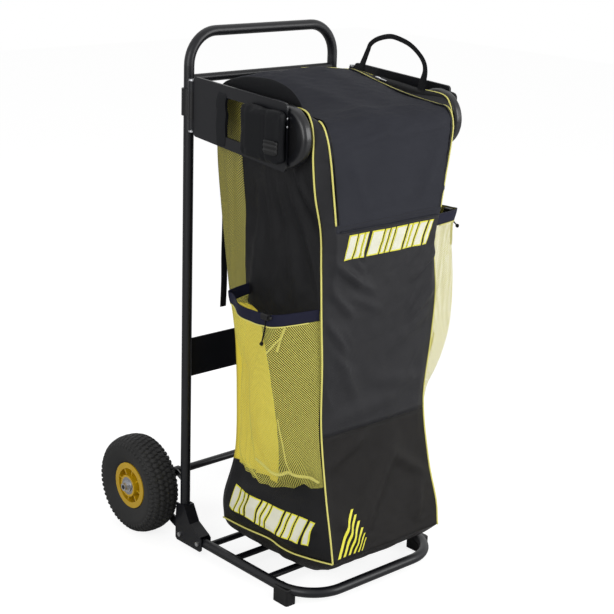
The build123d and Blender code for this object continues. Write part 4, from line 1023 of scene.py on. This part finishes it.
# Webbing: the loop on the right shoulder, the padded handle on the left, and a loose tail behind.
# Points are (reach, Z); half widths and half thicknesses go by share along
straps = {
    "loopHandle": {"node": "handle_loop", "finish": "webbing", "slot": "black_webbing", "x": 215.1,
                   "points": [(124, 1168), (122, 1198), (127, 1226), (136, 1247), (145, 1266),
                              (153, 1281), (178, 1296), (218, 1306), (252, 1303), (288, 1293),
                              (318, 1275), (336, 1256), (341, 1236), (336, 1212), (330, 1184),
                              (328, 1156)],
                   "half": [(0, 14), (0.08, 13), (0.17, 8.5), (0.3, 6.2), (0.7, 6.2), (0.8, 7.6),
                            (0.9, 12.5), (1, 14)],
                   "thick": [(0, 1.2), (1, 1.2)], "swell": 0.5, "standOff": 0.0},
    "paddedHandle": {"node": "carry_handle", "finish": "padding", "slot": "padded_nylon", "x": -219.6,
                     "points": [(96, 1166), (106, 1188), (130, 1205), (172, 1214), (230, 1219),
                                (290, 1220), (338, 1213), (370, 1196), (384, 1172), (386, 1150)],
                     "half": [(0, 10), (0.1, 11), (0.2, 14), (0.36, 20), (0.6, 21), (0.76, 17),
                              (0.88, 12), (1, 10)],
                     "thick": [(0, 1.3), (0.14, 1.6), (0.26, 4.4), (0.55, 5.0), (0.76, 4.0), (0.9, 1.6),
                               (1, 1.3)],
                     "swell": 0.0, "standOff": 5.2},
    "step": 3.0, "around": 28, "flatEnds": 2.2,
}
looseTail = {"x": -176.0, "half": (1.1, 9.5), "around": 20,
             "points": [(77.6, 985), (76.5, 930), (76.9, 860), (75.6, 790), (76.8, 720), (74.4, 655)]}


# A flat tube along the strap's line; the ends lie flat against the bag, the middle stands off it
def strapPiece(name):
    data = straps[name]
    line = evenLine(smoothLine([(data["x"], *p) for p in data["points"]], 10), straps["step"])
    share = np.linspace(0, 1, len(line))
    flat = 1 - np.clip(np.sin(math.pi * share) * straps["flatEnds"], 0, 1)
    line[:, 0] += data["standOff"] * flat
    thick = readOff(share, data["thick"]) + data["swell"] * np.sin(math.pi * share) ** 2
    tubePiece(name, place(line), (readOff(share, data["half"]) * mm, thick * mm),
              finishes[data["finish"]], "bag", data["node"], around=straps["around"])


strapPiece("loopHandle")
strapPiece("paddedHandle")
tailLine = smoothLine([(looseTail["x"], *p) for p in looseTail["points"]], 10)
tubePiece("strapTail", place(tailLine), [half * mm for half in looseTail["half"]], finishes["webbing"],
          "bag", "strap_tail", around=looseTail["around"])
print("straps made")

# Arm pads: crowned covers blown up as cloth, then pressed in along their sewn channels.
# Reach, height and |X| are a centre and a half size
armPad = {
    "reach": (322.0, 68.0), "z": (1131.0, 59.0), "x": (274.5, 11.8), "power": 12.0,
    "voxel": 5.0, "pressure": 3.0, "cap": 3.0, "frames": 20,
    "channels": [(341.0, 5.0), (272.0, 2.0)], "channelWidth": 3.2,  # (reach, depth)
    "crown": 6,  # the channels deepen over this much of the outer face
    "slope": -0.03, "keep": (261.3, 290.0), "fill": 0.7,  # keep is the nearest and furthest |X|
    # fittings, each (|X|, reach, Z), half sizes and squareness; ribs are how many and how high
    "buckle": ((289.0, 366.0, 1108.0), (3.6, 21.0, 16.0), 8.0), "ribs": (3, 1.3),
    "wrap": ((258.0, 160.0, 1137.0), (4.6, 17.0, 62.0), 10.0), "wrapWave": 1.6,
    "boltAt": (258.0, (1171.0, 1153.0)), "bolt": ((2.8, 1.8, 2.8), 2.0),
}


# A rounded box: a sphere's directions drawn out to a squarish ball by a high power, scaled to the half
# sizes
def roundedBox(centre, half, power, count):
    u = np.linspace(-math.pi / 2, math.pi / 2, count)[:, None]
    v = np.linspace(0, 2 * math.pi, 2 * count, endpoint=False)[None]
    ball = np.stack([np.cos(u) * np.cos(v), np.cos(u) * np.sin(v), np.sin(u) + 0 * v], -1)
    most = (np.abs(ball) ** power).sum(-1) ** (-1 / power)
    return np.array(centre) + ball * most[..., None] * np.array(half)


# Cloth pressure on a remeshed copy; each point's move is capped, and the result is applied
def inflate(piece, voxel, pressure, cap):
    bpy.context.view_layer.objects.active = piece
    remesh = piece.modifiers.new("remesh", "REMESH")
    remesh.mode = "VOXEL"
    remesh.voxel_size = voxel
    mesh = bpy.data.meshes.new_from_object(
        piece.evaluated_get(bpy.context.evaluated_depsgraph_get()))
    piece.modifiers.clear()
    piece.data = mesh
    before = readPoints(mesh)
    cloth = piece.modifiers.new("cloth", "CLOTH")
    cloth.settings.use_pressure = True
    cloth.settings.uniform_pressure_force = pressure
    cloth.settings.effector_weights.gravity = 0
    for step in range(1, armPad["frames"] + 1):
        scene.frame_set(step)
    blown = bpy.data.meshes.new_from_object(
        piece.evaluated_get(bpy.context.evaluated_depsgraph_get()))
    piece.modifiers.clear()
    move = readPoints(blown) - before
    far = np.linalg.norm(move, axis=1)[:, None]
    writePoints(mesh, before + move * np.minimum(1, cap / np.maximum(far, 1e-9)))
    scene.frame_set(1)


# The pad: its box blown up, its outer face pressed in at the channels, tilted and kept off the arm
def padPiece(side, sign):
    p = armPad
    (x, halfX), (reach, halfReach), (z, halfZ) = p["x"], p["reach"], p["z"]
    grid = place(roundedBox((sign * x, reach, z), (halfX, halfReach, halfZ), p["power"], 40))
    faces = gridFaces(*grid.shape[:2], closeCols=True)
    pad = makeMesh(f"armPad.{side}", grid, faces, finishes["padding"])
    mergeClose(pad)
    inflate(pad, p["voxel"] * mm, p["pressure"], p["cap"] * mm)
    at = readPoints(pad.data).astype(float)
    along = uprightY - at[:, 1] / mm
    outer = np.clip((np.abs(at[:, 0]) / mm - x) / p["crown"], 0, 1)
    for where, depth in p["channels"]:
        dip = depth * np.exp(-((along - where) / p["channelWidth"]) ** 2) * outer
        at[:, 0] -= sign * dip * mm
    at[:, 2] += p["slope"] * (along - reach) * mm
    at[:, 0] = sign * np.clip(np.abs(at[:, 0]), p["keep"][0] * mm, p["keep"][1] * mm)
    writePoints(pad.data, at)
    pad.data.polygons.foreach_set("use_smooth", np.ones(len(pad.data.polygons), bool))
    pad.data.materials.clear()
    pad.data.materials.append(finishes["padding"])
    finer = pad.modifiers.new("finer", "SUBSURF")
    finer.levels = finer.render_levels = 1
    dress(pad, f"arm_{side}", f"arm_pad_{side}")


# A rounded box on an arm, with ribs as sines up its outer face, or waves along it as on wound cloth
def fitting(name, side, part, finish, node=None, ribs=None, wave=0.0):
    (x, reach, z), half, power = part
    sign = sides[side]
    grid = roundedBox((sign * x, reach, z), half, power, 30)
    if ribs:
        outside = sign * (grid[..., 0] - sign * x) > 0
        turn = ribs[0] * 2 * math.pi * (grid[..., 2] - z) / (2 * half[2])
        grid[..., 0] += sign * ribs[1] * np.sin(turn) * outside
    grid[..., 1] += wave * ripple(grid[..., 2], grid[..., 0], 51, 50)
    faces = gridFaces(*grid.shape[:2], closeCols=True)
    piece = makeMesh(name, place(grid), faces, finishes[finish])
    mergeClose(piece)
    dress(piece, f"arm_{side}", node)


for side, sign in sides.items():
    padPiece(side, sign)
# A ribbed buckle on each pad, a strap wound round the window's rear bar, and two bolt heads in front
for side, sign in sides.items():
    fitting(f"armBuckle.{side}", side, armPad["buckle"], "blackPlastic",
            f"arm_buckle_{side}", ribs=armPad["ribs"])
    fitting(f"armStrap.{side}", side, armPad["wrap"], "webbing",
            wave=armPad["wrapWave"])
    front = uprightY - min(corner[1] for corner in nodes[f"arm_frame_{side}"].bound_box) / mm
    x, heights = armPad["boltAt"]
    for count, z in enumerate(heights):
        fitting(f"armBolt.{side}{count + 1}", side, ((x, front, z), *armPad["bolt"]), "zinc")
print("arm pads made")

# Printed bars, a plain pattern of slanted strokes on the front band, the low side panels and one
# corner: (start, width) of each stroke, and in the corner its share of the height
bars = {
    "front": {"z": (852, 904), "lean": 16,
              "strokes": [(-138, 20), (-108, 12), (-88, 6), (-66, 30), (-26, 8), (-8, 8), (10, 30),
                          (52, 6), (66, 12), (88, 20), (120, 8)]},
    "side": {"z": (158, 214), "lean": 14,
             "strokes": [(150, 22), (182, 12), (204, 6), (222, 34), (268, 8), (286, 8), (304, 34),
                         (350, 6), (366, 12), (388, 22), (424, 10)]},
    "corner": {"z": (134, 236), "lean": 60,
               "strokes": [(-166, 9, 1.0), (-148, 8, 0.86), (-131, 7, 0.7), (-115, 6, 0.54),
                           (-101, 5, 0.4), (-89, 4, 0.28)]},
    "border": 3.2, "rows": 14, "cols": 8,
    "frontLift": (0.7, 1.2), "sideLift": (0.8, 1.3), "cornerLift": 0.8,  # yellow, then white
}


# A stroke is a small grid of (along, up) places that lean over as they rise; white over a wider
# yellow one
def strokes(key, wide):
    data = bars[key]
    low, high = data["z"]
    v = np.linspace(0, 1, bars["rows"])[:, None]
    u = np.linspace(0, 1, bars["cols"])[None]
    made = []
    for start, width, *share in data["strokes"]:
        tall = share[0] if share else 1.0
        z = low - wide + v * ((high - low) * tall + 2 * wide)
        made.append(np.stack([start - wide + u * (width + 2 * wide) + data["lean"] * tall * v,
                              z + 0 * u], -1))
    return np.stack(made)


# All the strokes of a print as one piece
def printPiece(name, points, finish, flip=False):
    one = gridFaces(bars["rows"], bars["cols"], flip=flip)
    faces = one[None] + np.arange(len(points))[:, None, None] * bars["rows"] * bars["cols"]
    dress(makeMesh(name, place(points), faces.reshape(-1, 4), finishes[finish]), "bag")


# (X, Z) places on the front cloth, by the row at that height and the column at that X
def onFront(spots, lift):
    middleRow = acrossX[int(frontRow(spots[..., 1].mean()))]
    row, col = frontRow(spots[..., 1]), np.interp(spots[..., 0], middleRow, np.arange(cols))
    return onGrid(wrap, row, col) + onGrid(wrapOut, row, col) * lift


# each ink's border round a stroke, and which lift it takes: white lies over yellow
inks = {"Yellow": (bars["border"], 0), "White": (0, 1)}
for ink, (wide, at) in inks.items():
    printPiece(f"frontBars{ink}", onFront(strokes("front", wide), bars["frontLift"][at]), f"print{ink}")
printPiece("cornerBars", onFront(strokes("corner", 0), bars["cornerLift"]), "printYellow")
for side, sign in sides.items():
    for ink, (wide, at) in inks.items():
        spots = strokes("side", wide)
        x = sideX(spots[..., 0], spots[..., 1], sign) + bars["sideLift"][at]
        points = np.stack([sign * x, spots[..., 0], spots[..., 1]], -1)
        printPiece(f"sideBars{ink}.{side}", points, f"print{ink}", sign > 0)
print("prints made")

# Stage: pale floor and soft lamps, each (place, size, watts). The card lights the object, and the
# camera sees the paper and its glow instead
stage = {"floor": 9, "card": 0.8, "paper": 0.42, "glow": 0.83, "sky": 0.36, "aim": (0, 0, 0.7),
         "lamps": {"keyLamp": ((2.1, -3.7, 1.9), 2.4, 112), "fillLamp": ((-3.4, -1.2, 1.9), 2.2, 62),
                   "topLamp": ((0.4, 0.8, 3.6), 2.0, 6)}}


# A plain grey, already linear
def grey(value):
    return (value, value, value, 1)


w = stage["floor"]
floorMesh = bpy.data.meshes.new("studioFloor")
floorMesh.from_pydata([(-w, -w, 0), (w, -w, 0), (w, w, 0), (-w, w, 0)], [], [(0, 1, 2, 3)])
floorPiece = bpy.data.objects.new("studioFloor", floorMesh)
scene.collection.objects.link(floorPiece)
# matt paper: pale to the camera, without more light on the object, and it keeps the shadow
floorFinish, tree, shader = newMaterial("palePaper")
shader.inputs["Base Color"].default_value = grey(stage["card"])
shader.inputs["Roughness"].default_value = 0.9
shader.inputs["Specular IOR Level"].default_value = 0.1
floorMesh.materials.append(floorFinish)
ray = addNode(tree, "ShaderNodeLightPath")
paper = addNode(tree, "ShaderNodeBsdfDiffuse", {"Color": grey(stage["paper"])})
glow = addNode(tree, "ShaderNodeEmission", {"Color": grey(1), "Strength": stage["glow"]})
plus = addNode(tree, "ShaderNodeAddShader", {}, {0: paper.outputs[0], 1: glow.outputs[0]})
mixed = addNode(tree, "ShaderNodeMixShader", {},
                {0: ray.outputs["Is Camera Ray"], 1: shader.outputs[0], 2: plus.outputs[0]})
tree.links.new(mixed.outputs[0], tree.nodes["Material Output"].inputs["Surface"])

# The world is white to the camera and in reflections, and dimmer as light
world = bpy.data.worlds.new("studio")
scene.world = world
world.use_nodes = True
tree = world.node_tree
sky = tree.nodes["Background"]
sky.inputs["Color"].default_value = grey(1)
sky.inputs["Strength"].default_value = stage["sky"]
bright = addNode(tree, "ShaderNodeBackground", {"Color": grey(1), "Strength": 1.0})
ray = addNode(tree, "ShaderNodeLightPath")
seen = ray.outputs["Is Camera Ray"]
for kind in ("Is Glossy Ray", "Is Transmission Ray"):
    seen = addNode(tree, "ShaderNodeMath", {"operation": "ADD", "use_clamp": True},
                   {0: seen, 1: ray.outputs[kind]}).outputs[0]
mixed = addNode(tree, "ShaderNodeMixShader", {}, {0: seen, 1: sky.outputs[0], 2: bright.outputs[0]})
tree.links.new(mixed.outputs[0], tree.nodes["World Output"].inputs["Surface"])

for name, (at, size, power) in stage["lamps"].items():
    light = bpy.data.lights.new(name, "AREA")
    light.size = size
    light.energy = power
    lamp = bpy.data.objects.new(name, light)
    scene.collection.objects.link(lamp)
    lamp.location = at
    lamp.rotation_euler = (Vector(stage["aim"]) - Vector(at)).to_track_quat("-Z", "Y").to_euler()
scene.view_settings.view_transform = "Standard"
print("stage set")
